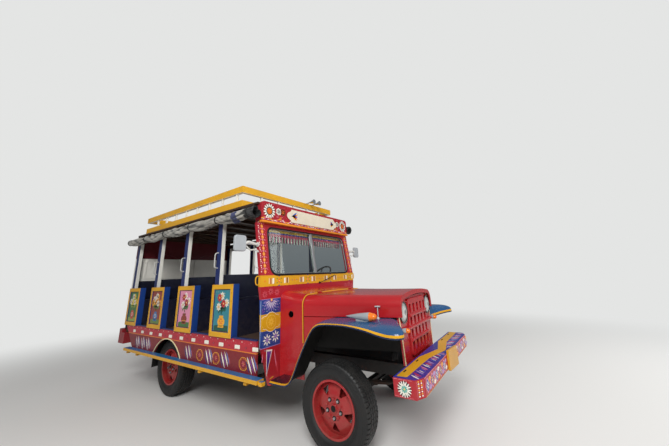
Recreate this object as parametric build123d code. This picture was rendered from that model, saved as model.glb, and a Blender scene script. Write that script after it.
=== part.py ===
from build123d import *
import math
import os

# Chiva: an open-sided country bus, a wooden coach on an old bonneted light truck.
# Millimetres. +X is forward, +Y is the left side, +Z is up, the ground is z = 0.
# Everything is laid out from the front axle at x = 0, and moved by MID_TO_FRONT_AXLE when written,
# so that the finished bus is centred on its own length.
os.makedirs("parts", exist_ok=True)
MID_TO_FRONT_AXLE = 1690.0

# Running gear
WHEELBASE = 2650.0
TYRE_R = 341.0
TYRE_W = 200.0
RIM_R = 196.0
RIM_WALL = 7.0
RIM_FLANGE_R = 212.5
RIM_HALF_W = 86.0
FRONT_TRACK_HALF = 700.0
REAR_TRACK_HALF = 745.0
AXLE_Z = TYRE_R
SPINDLE_R = 20.0
HUB_R = 46.0
HUB_OUT = 74.0
HUB_IN = 62.0
DRUM_R = 140.0
DRUM_OUT = 8.0
DRUM_IN = 70.0
DRUM_WALL = 9.0
LUG_CIRCLE_R = 69.85
LUG_R = 11.0
LUG_OUT = 14.0
WINDOW_IN_R = 104.0
WINDOW_IN_HALF = 8.0
WINDOW_OUT_R = 168.0
WINDOW_OUT_HALF = 41.0
RUN_CLEAR = 0.05
SEAT_CLEAR = 0.3
KINGPIN_Y = 560.0
KINGPIN_R = 12.0
BOSS_R = 28.0
BOSS_HALF = 42.0
EAR_T = 16.0
EAR_GAP = 0.4
TIE_X = -150.0
TIE_Y = KINGPIN_Y
TIE_Z = 262.0
TIE_PIN_R = 7.0
TIE_EYE_R = 19.0
TIE_ROD_R = 12.0
ARM_T = 16.0

# Ladder frame and springs
RAIL_IN = 310.0
RAIL_OUT = 370.0
RAIL_BOTTOM = 520.0
RAIL_TOP = 620.0
RAIL_WALL = 8.0
FRAME_FRONT = 598.0
FRAME_REAR = -3960.0
SPRING_Y = 340.0
SPRING_W = 60.0
SPRING_HALF_L = 480.0
SPRING_EYE_R = 17.0
SPRING_PIN_R = 8.0
SPRING_EYE_DROP = 34.0
LEAF_T = 9.0
SPRING_SAG = 50.0
HANGER_T = 6.0
HANGER_CAP = 8.0

# Coach body
WALL_X = -756.0
WALL_T = 40.0
BODY_HALF = 930.0
BAND_BOTTOM = 1318.0
BAND_TOP = 1438.0
WALL_FOOT_Z = 390.0
SCREEN_TOP = 1976.0
PILLAR_W = 145.0
SCREEN_HALF = BODY_HALF - PILLAR_W
SCREEN_BAR = 30.0
SCREEN_R = 90.0
PANE_FOOT = 8.0
SCREEN_LEAN = 8.6
GLASS_T = 6.0
HEADER_Z0 = 2027.0
HEADER_Z1 = 2281.0
HEADER_HALF = BODY_HALF - 26.0
HEADER_T = 35.0
HEADER_R = 45.0
LEDGE_D = 20.0
LEDGE_H = 22.0
PLAQUE_Y = 52.0
PLAQUE_W = 1000.0
PLAQUE_H = 168.0
PLAQUE_T = 8.0
PLAQUE_NOTCH_R = 30.0
PLAQUE_EAR_R = 46.0
FLOOR_TOP = 810.0
FLOOR_T = 30.0
BEARER_W = 60.0
RUNNER_H = RAIL_TOP + 80.0
REAR_WALL_T = 40.0
SKIRT_T = 25.0
SKIRT_BOTTOM = 485.0
ARCH_R = 435.0
ARCH_Z = 265.0
ARCH_AHEAD = 70.0
CANT_Z0 = 2120.0
CANT_Z1 = 2200.0
CANT_OUT = BODY_HALF - 5.0
CANT_W = 70.0
RIB_H = 40.0
ROOF_T = 25.0
ROOF_TOP = CANT_Z1 + RIB_H + ROOF_T

# Rows of benches and posts
ROW_PITCH = 808.0
FIRST_POST_X = -1610.0
ROWS = 4
REAR_IN = FIRST_POST_X - (ROWS - 1) * ROW_PITCH
REAR_FACE = REAR_IN - REAR_WALL_T
POST_L = 90.0
POST_OUT = BODY_HALF - 15.0
POST_W = 50.0
POST_IN = POST_OUT - POST_W
END_PANEL_L = 415.0
END_PANEL_OUT = BODY_HALF + 15.0
END_PANEL_TOP = 1366.5
END_FRAME_W = 52.0
END_RECESS = 10.0
BENCH_FRONT_T = 22.0
SEAT_BOARD_Z = 1165.0
SEAT_BOARD_T = 25.0
BACK_TOP = 1480.0
BACK_T = 30.0

# Rack on the roof
RACK_FRONT = -1140.0
RACK_REAR = -3770.0
RACK_HALF = BODY_HALF
RACK_RAIL_T = 45.0
RACK_LOW_H = 80.0
RACK_TOP_Z0 = 2444.0
RACK_TOP_Z1 = 2530.0
SPINDLE_PITCH = 305.0
SPINDLE_W = 24.0
SPINDLE_END = 130.0

# Bonnet, cowl, grille and wings
SKIN = 8.0
BONNET_FRONT = 560.0
BONNET_REAR = -450.0
BONNET_GAP = 6.0
BONNET_FRONT_HALF = 438.0
COWL_FRONT_HALF = 612.0
COWL_REAR_HALF = 645.0
BONNET_SIDE_Z = 1012.0
BONNET_REAR_Z = 1216.0
BONNET_FRONT_Z = 1200.0
COWL_REAR_Z = 1270.0
COWL_BOTTOM = 437.0
COWL_FRONT = BONNET_REAR - BONNET_GAP
GRILLE_X = 530.0
GRILLE_T = 25.0
NOSE_HALF = 254.0
NOSE_T = 18.0
NOSE_R = 9.0
LAMP_Y = 352.0
LAMP_Z = 1043.0
LAMP_R = 89.0
FENDER_OUT = 845.0
FENDER_TOP = BONNET_SIDE_Z - BONNET_GAP
FENDER_LIP = 983.0
STEP_TOP = 462.0
FENDER_REAR = -700.0

# Bumpers and running boards
BUMPER_REAR = FRAME_FRONT
BUMPER_FRONT = 801.0
BUMPER_SIDE_FRONT = 759.0
BUMPER_HALF = 847.5
BUMPER_CHAMFER = 84.0
BUMPER_Z0 = 555.0
BUMPER_Z1 = 675.0
BUMPER_WALL = 6.0
SLOT_L = 56.0
SLOT_W = 12.0
SLOT_INSET = 34.0
SLOT_MID_Y = 553.0
SLOT_SPACING = 284.0
PLATE_T = 19.0
PLATE_W = 330.0
PLATE_H = 160.0
PLATE_Y = 45.0
PLATE_Z = 612.0
PLATE_TILT = 4.0
PLATE_R = 14.0
BOARD_TOP = 512.0
BOARD_T = 35.0
BOARD_W = 82.0
BOARD_OUT = BODY_HALF + BOARD_W
BOARD_FRONT = -680.0
BOARD_REAR = -3740.0
REAR_BUMPER_FRONT = -3960.0
REAR_BUMPER_REAR = -4200.0
REAR_BUMPER_HALF = BODY_HALF + 20.0
REAR_BUMPER_Z0 = 535.0
REAR_BUMPER_Z1 = RUNNER_H - 5.0
REAR_LIP_Z1 = 745.0
REAR_BUMPER_R = 35.0


def block(x0, x1, y0, y1, z0, z1):
    """A plain box between two corners."""
    size = (abs(x1 - x0), abs(y1 - y0), abs(z1 - z0))
    centre = ((x0 + x1) / 2, (y0 + y1) / 2, (z0 + z1) / 2)
    return Pos(*centre) * Box(*size)


def rod(start, end, radius):
    """A round bar between two points."""
    a = Vector(*start)
    b = Vector(*end)
    plane = Plane(origin=a, z_dir=b - a)
    return plane * Cylinder(radius, (b - a).length, align=(Align.CENTER, Align.CENTER, Align.MIN))


def across(y_low, y_high, outline):
    """An outline drawn in x and z, given its thickness along y."""
    plane = Plane(origin=(0, y_high, 0), x_dir=(1, 0, 0), z_dir=(0, -1, 0))
    return extrude(plane * outline, amount=y_high - y_low)


def along(x_low, x_high, outline):
    """An outline drawn in y and z, given its thickness along x."""
    plane = Plane(origin=(x_low, 0, 0), x_dir=(0, 1, 0), z_dir=(1, 0, 0))
    return extrude(plane * outline, amount=x_high - x_low)


def upward(z_low, z_high, outline):
    """An outline drawn in x and y, given its thickness along z."""
    plane = Plane(origin=(0, 0, z_low), x_dir=(1, 0, 0), z_dir=(0, 0, 1))
    return extrude(plane * outline, amount=z_high - z_low)


def polygon(*points):
    """A flat face with straight sides."""
    return make_face(Polyline(*points, close=True))


def rounded(points, radii):
    """A flat face with straight sides and a round corner at each point, of the radius listed for it."""
    face = polygon(*points)
    for (u, v), radius in zip(points, radii):
        if radius > 0:
            corner = min(face.vertices(), key=lambda c: math.hypot(c.X - u, c.Y - v))
            face = fillet(corner, radius)
    return face


def mirrored(solid):
    """The same piece on the other side of the bus."""
    return mirror(solid, about=Plane.XZ)


def pair(solid):
    """A piece and its twin on the other side, as solids that don't touch."""
    return [solid, mirrored(solid)]


def write(node, pieces):
    """Writes one named piece, moved to the frame centred on the bus."""
    solids = []
    for piece in (pieces if isinstance(pieces, list) else [pieces]):
        solids += piece.solids()
    moved = [Pos(MID_TO_FRONT_AXLE, 0, 0) * solid for solid in solids]
    export_step(moved[0] if len(moved) == 1 else Compound(children=moved), f"parts/{node}.step")


def side_half(x):
    """Half the width of the bonnet and cowl at a place along the bus."""
    if x > BONNET_REAR:
        share = (x - BONNET_REAR) / (BONNET_FRONT - BONNET_REAR)
        return COWL_FRONT_HALF + share * (BONNET_FRONT_HALF - COWL_FRONT_HALF)
    share = min(1.0, (x - WALL_X) / (COWL_FRONT - WALL_X))
    return COWL_REAR_HALF + share * (COWL_FRONT_HALF - COWL_REAR_HALF)


# Ladder frame: two channel rails, cross members, spring hangers and outriggers, as one welded piece
rail = block(FRAME_REAR, FRAME_FRONT, RAIL_IN, RAIL_OUT, RAIL_BOTTOM, RAIL_TOP)
rail -= block(FRAME_REAR, FRAME_FRONT, RAIL_IN, RAIL_OUT - RAIL_WALL,
              RAIL_BOTTOM + RAIL_WALL, RAIL_TOP - RAIL_WALL)
frame = rail + mirrored(rail)
CROSS_H = 50.0
# cross members: rear edge x, length along x
CROSS_MEMBERS = [(500, 90), (380, 80), (-60, 60), (-860, 60),
                 (-1900, 60), (-2480, 60), (-3030, 60), (-3800, 60)]
for rear_x, length in CROSS_MEMBERS:
    frame += block(rear_x, rear_x + length, -RAIL_OUT + RAIL_WALL, RAIL_OUT - RAIL_WALL,
                   RAIL_BOTTOM, RAIL_BOTTOM + CROSS_H)
spring_ends = [x + s * SPRING_HALF_L for x in (0.0, -WHEELBASE) for s in (-1, 1)]
HANGER_HALF_L = 26.0
eye_z = RAIL_BOTTOM - SPRING_EYE_DROP
HANGER_CLEAR = 1.0
cheek_in = SPRING_W / 2 + HANGER_CLEAR
for x in spring_ends:
    for side in (-1, 1):
        y = side * SPRING_Y
        cap_half = cheek_in + HANGER_T
        frame += block(x - HANGER_HALF_L, x + HANGER_HALF_L, y - cap_half, y + cap_half,
                       RAIL_BOTTOM - HANGER_CAP, RAIL_BOTTOM)
        for s in (-1, 1):
            cheek_y = y + s * (cheek_in + HANGER_T / 2)
            frame += block(x - HANGER_HALF_L, x + HANGER_HALF_L, cheek_y - HANGER_T / 2, cheek_y + HANGER_T / 2,
                           eye_z - SPRING_EYE_R, RAIL_BOTTOM)
        frame += rod((x, y - cap_half, eye_z), (x, y + cap_half, eye_z), SPRING_PIN_R)
write("chassis_frame", frame)

# Leaf springs: three bowed leaves under each rail, rolled into an eye at each end
eye_bottom = eye_z - SPRING_EYE_R
spring_mid_top = eye_z - SPRING_SAG
bow_r = (SPRING_HALF_L ** 2 + SPRING_SAG ** 2) / (2 * SPRING_SAG)
LEAF_HALF_LENGTHS = [SPRING_HALF_L, 340.0, 210.0]


def spring_outline(axle_x):
    """The three leaves as arcs about one centre, cut to their own lengths, and the eyes."""
    shape = None
    centre_z = spring_mid_top + bow_r
    for number, half in enumerate(LEAF_HALF_LENGTHS):
        outer = Pos(axle_x, centre_z) * Circle(bow_r + (number + 1) * LEAF_T)
        ring = outer - Pos(axle_x, centre_z) * Circle(bow_r + number * LEAF_T)
        window = Pos(axle_x, centre_z - bow_r) * Rectangle(2 * half, 6 * SPRING_SAG)
        leaf = ring & window
        shape = leaf if shape is None else shape + leaf
    for s in (-1, 1):
        shape += Pos(axle_x + s * SPRING_HALF_L, eye_z) * Circle(SPRING_EYE_R)
    for s in (-1, 1):
        shape -= Pos(axle_x + s * SPRING_HALF_L, eye_z) * Circle(SPRING_PIN_R + RUN_CLEAR)
    return shape


springs = []
for axle_x in (0.0, -WHEELBASE):
    for side in (-1, 1):
        y = side * SPRING_Y
        springs.append(across(y - SPRING_W / 2, y + SPRING_W / 2, spring_outline(axle_x)))
write("leaf_springs", springs)
spring_under = spring_mid_top - len(LEAF_HALF_LENGTHS) * LEAF_T

# Front axle: a forged I-beam with a spring pad on each side and a kingpin boss at each end
BEAM_H = 62.0
BEAM_W = 56.0
BEAM_WEB = 16.0
BEAM_FLANGE = 14.0
PAD_HALF_L = 45.0
beam_top = AXLE_Z + BEAM_H / 2
beam_bottom = AXLE_Z - BEAM_H / 2
beam_end = KINGPIN_Y - BOSS_R * 0.7
front_axle = block(-BEAM_W / 2, BEAM_W / 2, -beam_end, beam_end, beam_bottom, beam_top)
for s in (-1, 1):
    groove_x = s * (BEAM_WEB / 2)
    front_axle -= block(groove_x, s * BEAM_W / 2, -KINGPIN_Y + 3 * BOSS_R, KINGPIN_Y - 3 * BOSS_R,
                        beam_bottom + BEAM_FLANGE, beam_top - BEAM_FLANGE)
for side in (-1, 1):
    y = side * SPRING_Y
    front_axle += block(-PAD_HALF_L, PAD_HALF_L, y - SPRING_W / 2, y + SPRING_W / 2, AXLE_Z, spring_under)
    front_axle += Pos(0, side * KINGPIN_Y, AXLE_Z) * Cylinder(BOSS_R, 2 * BOSS_HALF)
for side in (-1, 1):
    front_axle -= Pos(0, side * KINGPIN_Y, AXLE_Z) * Cylinder(KINGPIN_R + RUN_CLEAR, 4 * BOSS_HALF)
write("front_axle", front_axle)

# Steering knuckles: a fork on the kingpin, the spindle, the backing plate and the steering arm
BACK_PLATE_T = 6.0
BACK_PLATE_GAP = 8.0
BACK_PLATE_R = DRUM_R - 4.0
TIP_INSET = 24.0
ARM_HALF = 18.0
ARM_REACH = 22.0
plate_y = FRONT_TRACK_HALF - DRUM_IN - BACK_PLATE_GAP
ear_z = BOSS_HALF + EAR_GAP + EAR_T / 2
spindle_tip = FRONT_TRACK_HALF + HUB_OUT - TIP_INSET
plate_face = plate_y + BACK_PLATE_T
knuckle = Pos(0, KINGPIN_Y, AXLE_Z) * Cylinder(KINGPIN_R, 2 * (ear_z + EAR_T / 2))
for s in (-1, 1):
    knuckle += Pos(0, KINGPIN_Y, AXLE_Z + s * ear_z) * Cylinder(BOSS_R, EAR_T)
    ear_mid = AXLE_Z + s * ear_z
    knuckle += block(-BOSS_R, BOSS_R, KINGPIN_Y, plate_y, ear_mid - EAR_T / 2, ear_mid + EAR_T / 2)
ear_top = ear_z + EAR_T / 2
fork_y = KINGPIN_Y + BOSS_R + 6.0
knuckle += block(-BOSS_R, BOSS_R, fork_y, plate_y, AXLE_Z - ear_top, AXLE_Z + ear_top)
knuckle += rod((0, plate_face - 2 * BACK_PLATE_T, AXLE_Z), (0, plate_face, AXLE_Z), BACK_PLATE_R)
knuckle += rod((0, plate_y, AXLE_Z), (0, spindle_tip, AXLE_Z), SPINDLE_R)
arm_bottom = TIE_Z - ARM_T / 2
arm_top = TIE_Z + ARM_T / 2
knuckle += block(-ARM_REACH, ARM_REACH, KINGPIN_Y - ARM_HALF, KINGPIN_Y + ARM_HALF, arm_bottom, AXLE_Z - ear_z)
arm_face = polygon((ARM_REACH, KINGPIN_Y - ARM_HALF), (ARM_REACH, KINGPIN_Y + ARM_HALF),
                   (TIE_X, TIE_Y + ARM_HALF * 0.8), (TIE_X, TIE_Y - ARM_HALF * 0.8))
knuckle += upward(arm_bottom, arm_top, arm_face)
knuckle += Pos(TIE_X, TIE_Y, TIE_Z) * Cylinder(TIE_EYE_R, ARM_T)
knuckle -= Pos(TIE_X, TIE_Y, TIE_Z) * Cylinder(TIE_PIN_R + RUN_CLEAR, ARM_T * 3)
write("steering_knuckle_left", knuckle)
write("steering_knuckle_right", mirrored(knuckle))

# Tie rod: a tube under the two steering arms, with a pin up through each
TIE_GAP = 0.5
TIE_EYE_H = 26.0
TIE_PIN_RISE = ARM_T + TIE_GAP + 8.0
rod_z = arm_bottom - TIE_GAP - TIE_EYE_H / 2
eye_bottom = rod_z - TIE_EYE_H / 2
tie_rod = rod((TIE_X, -TIE_Y, rod_z), (TIE_X, TIE_Y, rod_z), TIE_ROD_R)
for side in (-1, 1):
    tie_rod += Pos(TIE_X, side * TIE_Y, rod_z) * Cylinder(TIE_EYE_R, TIE_EYE_H)
    pin_top = rod_z + TIE_EYE_H / 2 + TIE_PIN_RISE
    tie_rod += rod((TIE_X, side * TIE_Y, eye_bottom), (TIE_X, side * TIE_Y, pin_top), TIE_PIN_R)
write("tie_rod", tie_rod)

# Rear axle: banjo casing with a round cover, spring pads, brake backing plates and spindles
CASING_R = 40.0
rear_plate_y = REAR_TRACK_HALF - DRUM_IN - BACK_PLATE_GAP
rear_plate_face = rear_plate_y + BACK_PLATE_T
rear_tip = REAR_TRACK_HALF + HUB_OUT - TIP_INSET
rear_x = -WHEELBASE
rear_axle = rod((rear_x, -rear_plate_y, AXLE_Z), (rear_x, rear_plate_y, AXLE_Z), CASING_R)
BANJO_R = 140.0
BANJO_FLAT = 110.0
PINION_L = 260.0
PINION_BIG_R = 90.0
PINION_SMALL_R = 45.0
banjo_room = block(rear_x - BANJO_FLAT, rear_x + BANJO_R, -BANJO_R, BANJO_R,
                   AXLE_Z - BANJO_R, AXLE_Z + BANJO_R)
rear_axle += (Pos(rear_x, 0, AXLE_Z) * Sphere(BANJO_R)) & banjo_room
pinion = Cone(PINION_BIG_R, PINION_SMALL_R, PINION_L, align=(Align.CENTER, Align.CENTER, Align.MIN))
rear_axle += Pos(rear_x, 0, AXLE_Z) * Rot(0, 90, 0) * pinion
for side in (-1, 1):
    pad_y = side * SPRING_Y
    rear_axle += block(rear_x - PAD_HALF_L, rear_x + PAD_HALF_L, pad_y - SPRING_W / 2, pad_y + SPRING_W / 2,
                       AXLE_Z, spring_under)
    rear_axle += rod((rear_x, side * (rear_plate_face - 2 * BACK_PLATE_T), AXLE_Z),
                     (rear_x, side * rear_plate_face, AXLE_Z), BACK_PLATE_R)
    rear_axle += rod((rear_x, side * rear_plate_y, AXLE_Z), (rear_x, side * rear_tip, AXLE_Z), SPINDLE_R)
# the drive shaft, from the gearbox to the nose of the axle
GEARBOX_REAR = -980.0
SHAFT_R = 32.0
SHAFT_FRONT_Z = 630.0
shaft_front = (GEARBOX_REAR, 0, SHAFT_FRONT_Z)
shaft_rear = (rear_x + PINION_L, 0, AXLE_Z)
shaft = rod(shaft_front, shaft_rear, SHAFT_R)
shaft_end = 2 * SHAFT_R
shaft -= block(GEARBOX_REAR, GEARBOX_REAR + shaft_end, -shaft_end, shaft_end,
               SHAFT_FRONT_Z - shaft_end, SHAFT_FRONT_Z + shaft_end)
rear_axle += shaft
write("rear_axle", rear_axle)

# Wheels: a pressed steel disc with five windows in a flanged rim, hub and brake drum
WINDOWS = 5
DISC_Y = 62.0
DISC_T = 8.0
DISC_FLAT_R = 98.0
DISC_BEND_R = 150.0
DISC_BEND = 12.0
DISC_DISH = 34.0
FLANGE_T = 6.0
CAP_R = 32.0
CAP_INSET = 22.0


def wheel():
    """A wheel about the y axis, centred on its tyre, with +y as its outer face."""
    flange_in = RIM_HALF_W - FLANGE_T
    rim_top = RIM_R + RIM_WALL
    profile = polygon((RIM_R, -RIM_HALF_W), (RIM_FLANGE_R, -RIM_HALF_W), (RIM_FLANGE_R, -flange_in),
                      (rim_top, -flange_in), (rim_top, flange_in),
                      (RIM_FLANGE_R, flange_in), (RIM_FLANGE_R, RIM_HALF_W), (RIM_R, RIM_HALF_W))
    # outer face of the disc, from its middle to the rim: radius, and how far back
    face = [(0, 0), (DISC_FLAT_R, 0), (DISC_BEND_R, DISC_BEND), (RIM_R + 1, DISC_DISH)]
    front_line = [(r, DISC_Y - back) for r, back in face]
    back_line = [(r, DISC_Y - back - DISC_T) for r, back in reversed(face)]
    disc = polygon(*front_line, *back_line)
    hub = polygon((0, -HUB_IN), (HUB_R, -HUB_IN), (HUB_R, DISC_Y - 1), (CAP_R, DISC_Y - 1), (CAP_R, HUB_OUT),
                  (0, HUB_OUT))
    drum_back = -DRUM_OUT - DRUM_WALL
    drum_bore = DRUM_R - DRUM_WALL
    drum = polygon((HUB_R - 1, drum_back), (drum_bore, drum_back), (drum_bore, -DRUM_IN), (DRUM_R, -DRUM_IN),
                   (DRUM_R, -DRUM_OUT), (HUB_R - 1, -DRUM_OUT))
    body = revolve(Plane.XY * profile, Axis.Y) + revolve(Plane.XY * disc, Axis.Y)
    body += revolve(Plane.XY * hub, Axis.Y) + revolve(Plane.XY * drum, Axis.Y)
    window = rounded([(WINDOW_IN_R, -WINDOW_IN_HALF), (WINDOW_OUT_R, -WINDOW_OUT_HALF),
                      (WINDOW_OUT_R, WINDOW_OUT_HALF), (WINDOW_IN_R, WINDOW_IN_HALF)], [4, 9, 9, 4])
    cutter = across(0, 2 * DISC_Y, window)
    for number in range(WINDOWS):
        body -= Rot(0, 90 + number * 360 / WINDOWS, 0) * cutter
    lug = across(DISC_Y - DISC_T / 2, DISC_Y + LUG_OUT, Pos(LUG_CIRCLE_R, 0) * RegularPolygon(LUG_R, 6))
    for number in range(WINDOWS):
        body += Rot(0, 90 + 180 / WINDOWS + number * 360 / WINDOWS, 0) * lug
    body -= rod((0, -2 * HUB_IN, 0), (0, HUB_OUT - CAP_INSET, 0), SPINDLE_R + RUN_CLEAR)
    return body


TYRE_FIT = 0.2
BEAD_H = 20.0
BEAD_W = 45.0
CROWN_T = 22.0
CROWN_HALF = 60.0


def tyre():
    """A tyre about the y axis: a bead on the rim, bulged walls and round shoulders."""
    bead = RIM_R + RIM_WALL + TYRE_FIT
    half = TYRE_W / 2
    bead_y = RIM_HALF_W - FLANGE_T - TYRE_FIT
    # outside of the wall, from the bead to the tread: depth below the tread, and how far in from the bulge
    wall_line = [(TYRE_R - bead, half - bead_y), (TYRE_R - bead - BEAD_H, half - bead_y),
                 (75, 0), (28, 6), (9, 14), (0, 26)]
    right = [(TYRE_R - deep, half - inset) for deep, inset in wall_line]
    left = [(r, -y) for r, y in reversed(right)]
    inside = [(bead, -BEAD_W), (TYRE_R - CROWN_T, -CROWN_HALF), (TYRE_R - CROWN_T, CROWN_HALF), (bead, BEAD_W)]
    return revolve(Plane.XY * polygon(*right, *left, *inside), Axis.Y)


one_wheel = wheel()
one_tyre = tyre()
# corner name, place along the bus, signed place across it
CORNERS = [("front_left", 0.0, FRONT_TRACK_HALF), ("front_right", 0.0, -FRONT_TRACK_HALF),
           ("rear_left", -WHEELBASE, REAR_TRACK_HALF), ("rear_right", -WHEELBASE, -REAR_TRACK_HALF)]
for corner, x, y in CORNERS:
    turn = Rot(0, 0, 0) if y > 0 else Rot(0, 0, 180)
    write(f"wheel_{corner}", Pos(x, y, AXLE_Z) * turn * one_wheel)
    write(f"tyre_{corner}", Pos(x, y, AXLE_Z) * turn * one_tyre)

# Engine with its gearbox: one plain block of the real size on the frame's cross members
ENGINE_REAR = -380.0
ENGINE_FRONT = 300.0
ENGINE_HALF = 190.0
ENGINE_TOP = 1080.0
GEARBOX_HALF = 130.0
GEARBOX_CLEAR = 10.0
RADIATOR_REAR = 395.0
RADIATOR_T = 60.0
RADIATOR_HALF = 260.0
RADIATOR_TOP = 1110.0
engine_floor = RAIL_BOTTOM + CROSS_H
engine = block(ENGINE_REAR, ENGINE_FRONT, -ENGINE_HALF, ENGINE_HALF, engine_floor, ENGINE_TOP)
engine += block(GEARBOX_REAR, ENGINE_REAR, -GEARBOX_HALF, GEARBOX_HALF, engine_floor, RUNNER_H - GEARBOX_CLEAR)
radiator = block(RADIATOR_REAR, RADIATOR_REAR + RADIATOR_T, -RADIATOR_HALF, RADIATOR_HALF,
                 engine_floor, RADIATOR_TOP)
write("engine_and_radiator", [engine, radiator])

# Fuel tank slung between the rails behind the rear axle
TANK_REAR = -3720.0
TANK_L = 480.0
TANK_CLEAR = 20.0
TANK_BOTTOM = 480.0
TANK_R = 30.0
tank_half = RAIL_IN - TANK_CLEAR
tank = block(TANK_REAR, TANK_REAR + TANK_L, -tank_half, tank_half, TANK_BOTTOM, RUNNER_H)
tank = fillet(tank.edges().filter_by(Axis.X), TANK_R)
write("fuel_tank", tank)

# Exhaust: down from the engine, through a silencer and out on the left before the rear wheel
PIPE_R = 22.0
EXHAUST_Y = 225.0
EXHAUST_Z = 455.0
PORT_X = -300.0
PORT_Z = 620.0
DOWN_X = -420.0
SILENCER_FRONT = -1150.0
SILENCER_REAR = -1550.0
SILENCER_R = 64.0
TAIL_X = -2050.0
TAIL_INSET = 30.0
TAIL_DROP = 20.0
TAIL_BEND_R = 90.0
PORT_BEND_R = 16.0
DOWN_BEND_R = 60.0
port = (PORT_X, ENGINE_HALF, PORT_Z)
silencer_front = (SILENCER_FRONT, EXHAUST_Y, EXHAUST_Z)
silencer_rear = (SILENCER_REAR, EXHAUST_Y, EXHAUST_Z)
pipe_path = FilletPolyline(port, (PORT_X, EXHAUST_Y, PORT_Z), (DOWN_X, EXHAUST_Y, EXHAUST_Z), silencer_front,
                           radius=[PORT_BEND_R, DOWN_BEND_R], close=False)
pipe = sweep(Plane(origin=port, z_dir=(0, 1, 0)) * Circle(PIPE_R), path=pipe_path)
tail_path = FilletPolyline(silencer_rear, (TAIL_X, EXHAUST_Y, EXHAUST_Z),
                           (TAIL_X, BODY_HALF - TAIL_INSET, EXHAUST_Z - TAIL_DROP), radius=TAIL_BEND_R)
tail = sweep(Plane(origin=silencer_rear, z_dir=(-1, 0, 0)) * Circle(PIPE_R), path=tail_path)
exhaust = pipe + tail + rod(silencer_front, silencer_rear, SILENCER_R)
write("exhaust", exhaust)

# Front bumper: a deep welded box with cut corners, slots in its top, and the blank plate on its face


def bumper_plan(inset):
    """The bumper's outline from above, shrunk by a wall all round."""
    corner = inset * 0.6
    edge = [(BUMPER_REAR + inset, BUMPER_HALF - inset), (BUMPER_SIDE_FRONT - corner, BUMPER_HALF - inset),
            (BUMPER_FRONT - inset, BUMPER_HALF - BUMPER_CHAMFER - corner)]
    return polygon(*edge, *[(x, -y) for x, y in reversed(edge)])


bumper = upward(BUMPER_Z0, BUMPER_Z1, bumper_plan(0))
bumper -= upward(BUMPER_Z0 + BUMPER_WALL, BUMPER_Z1 - BUMPER_WALL, bumper_plan(BUMPER_WALL))
slot = SlotOverall(SLOT_L, SLOT_W, rotation=90)
for side in (-1, 1):
    for s in (-1, 1):
        centre = Pos(BUMPER_REAR + SLOT_INSET, side * SLOT_MID_Y + s * SLOT_SPACING / 2)
        bumper -= upward(BUMPER_Z1 - BUMPER_WALL - 1, BUMPER_Z1 + 1, centre * slot)
number_plate = Pos(PLATE_Y, PLATE_Z) * Rot(0, 0, -PLATE_TILT) * RectangleRounded(PLATE_W, PLATE_H, PLATE_R)
bumper += along(BUMPER_FRONT, BUMPER_FRONT + PLATE_T, number_plate)
write("front_bumper", bumper)

# Grille shell: a flat red front with the lamp openings, and a raised nose with rows of slots between ribs
GRILLE_TOP = 1172.0
# one side of the shell from the foot up: half width, height, corner radius
GRILLE_EDGE = [(405, RAIL_TOP, 0), (432, 930, 40), (445, 960, 40), (445, 1090, 60), (380, GRILLE_TOP, 60)]
left_edge = [(half, z) for half, z, radius in GRILLE_EDGE]
right_edge = [(-half, z) for half, z in reversed(left_edge)]
edge_radii = [radius for half, z, radius in GRILLE_EDGE]
shell_face = rounded(left_edge + right_edge, edge_radii + edge_radii[::-1])
grille = along(GRILLE_X - GRILLE_T, GRILLE_X, shell_face)
NOSE_FOOT = 655.0
NOSE_TOP = 1150.0
NOSE_CORNER_R = 40.0
nose_face = RectangleRounded(2 * NOSE_HALF, NOSE_TOP - NOSE_FOOT, NOSE_CORNER_R)
nose = along(GRILLE_X, GRILLE_X + NOSE_T, Pos(0, (NOSE_FOOT + NOSE_TOP) / 2) * nose_face)
nose = fillet(nose.faces().sort_by(Axis.X)[-1].edges(), NOSE_R)
grille += nose
SLOTS = 5
SLOT_PITCH = 104.0
SLOT_WIDE = 52.0
SLOT_CORNER_R = 9.0
# slot rows: bottom z, top z
SLOT_ROWS = [(1022, 1100), (918, 985), (810, 880), (690, 775)]
for z0, z1 in SLOT_ROWS:
    for number in range(SLOTS):
        y = (number - (SLOTS - 1) / 2) * SLOT_PITCH
        grille_slot = Pos(y, (z0 + z1) / 2) * RectangleRounded(SLOT_WIDE, z1 - z0, SLOT_CORNER_R)
        grille -= along(GRILLE_X - GRILLE_T, GRILLE_X + NOSE_T, grille_slot)
RIB_OUT = 14.0
RIB_R = 10.0
# ribs: bottom z, top z, half length
GRILLE_RIBS = [(988, 1017, NOSE_HALF - 8), (885, 914, 396), (780, 806, NOSE_HALF - 8)]
for z0, z1, half in GRILLE_RIBS:
    grille_rib = block(GRILLE_X, GRILLE_X + NOSE_T + RIB_OUT, -half, half, z0, z1)
    front_edges = grille_rib.faces().sort_by(Axis.X)[-1].edges()
    grille += fillet(front_edges, RIB_R)
for side in (-1, 1):
    grille -= rod((GRILLE_X - GRILLE_T, side * LAMP_Y, LAMP_Z), (GRILLE_X, side * LAMP_Y, LAMP_Z), LAMP_R)
write("grille_shell", grille)

# Headlamps: a domed lens in a bezel, in a bucket behind the grille
BEZEL_R = 93.0
BEZEL_T = 12.0
LENS_BULGE = 26.0
LENS_STEP = 6.0
BUCKET_D = 80.0
BUCKET_BACK_R = 40.0
lens_r = LAMP_R - LENS_STEP
bucket_r = LAMP_R - SEAT_CLEAR
lens_rim = (BEZEL_T - 4.0, lens_r)
lens = ThreePointArc((LENS_BULGE, 0), (LENS_BULGE - LENS_STEP, lens_r * 0.6), lens_rim)
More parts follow.
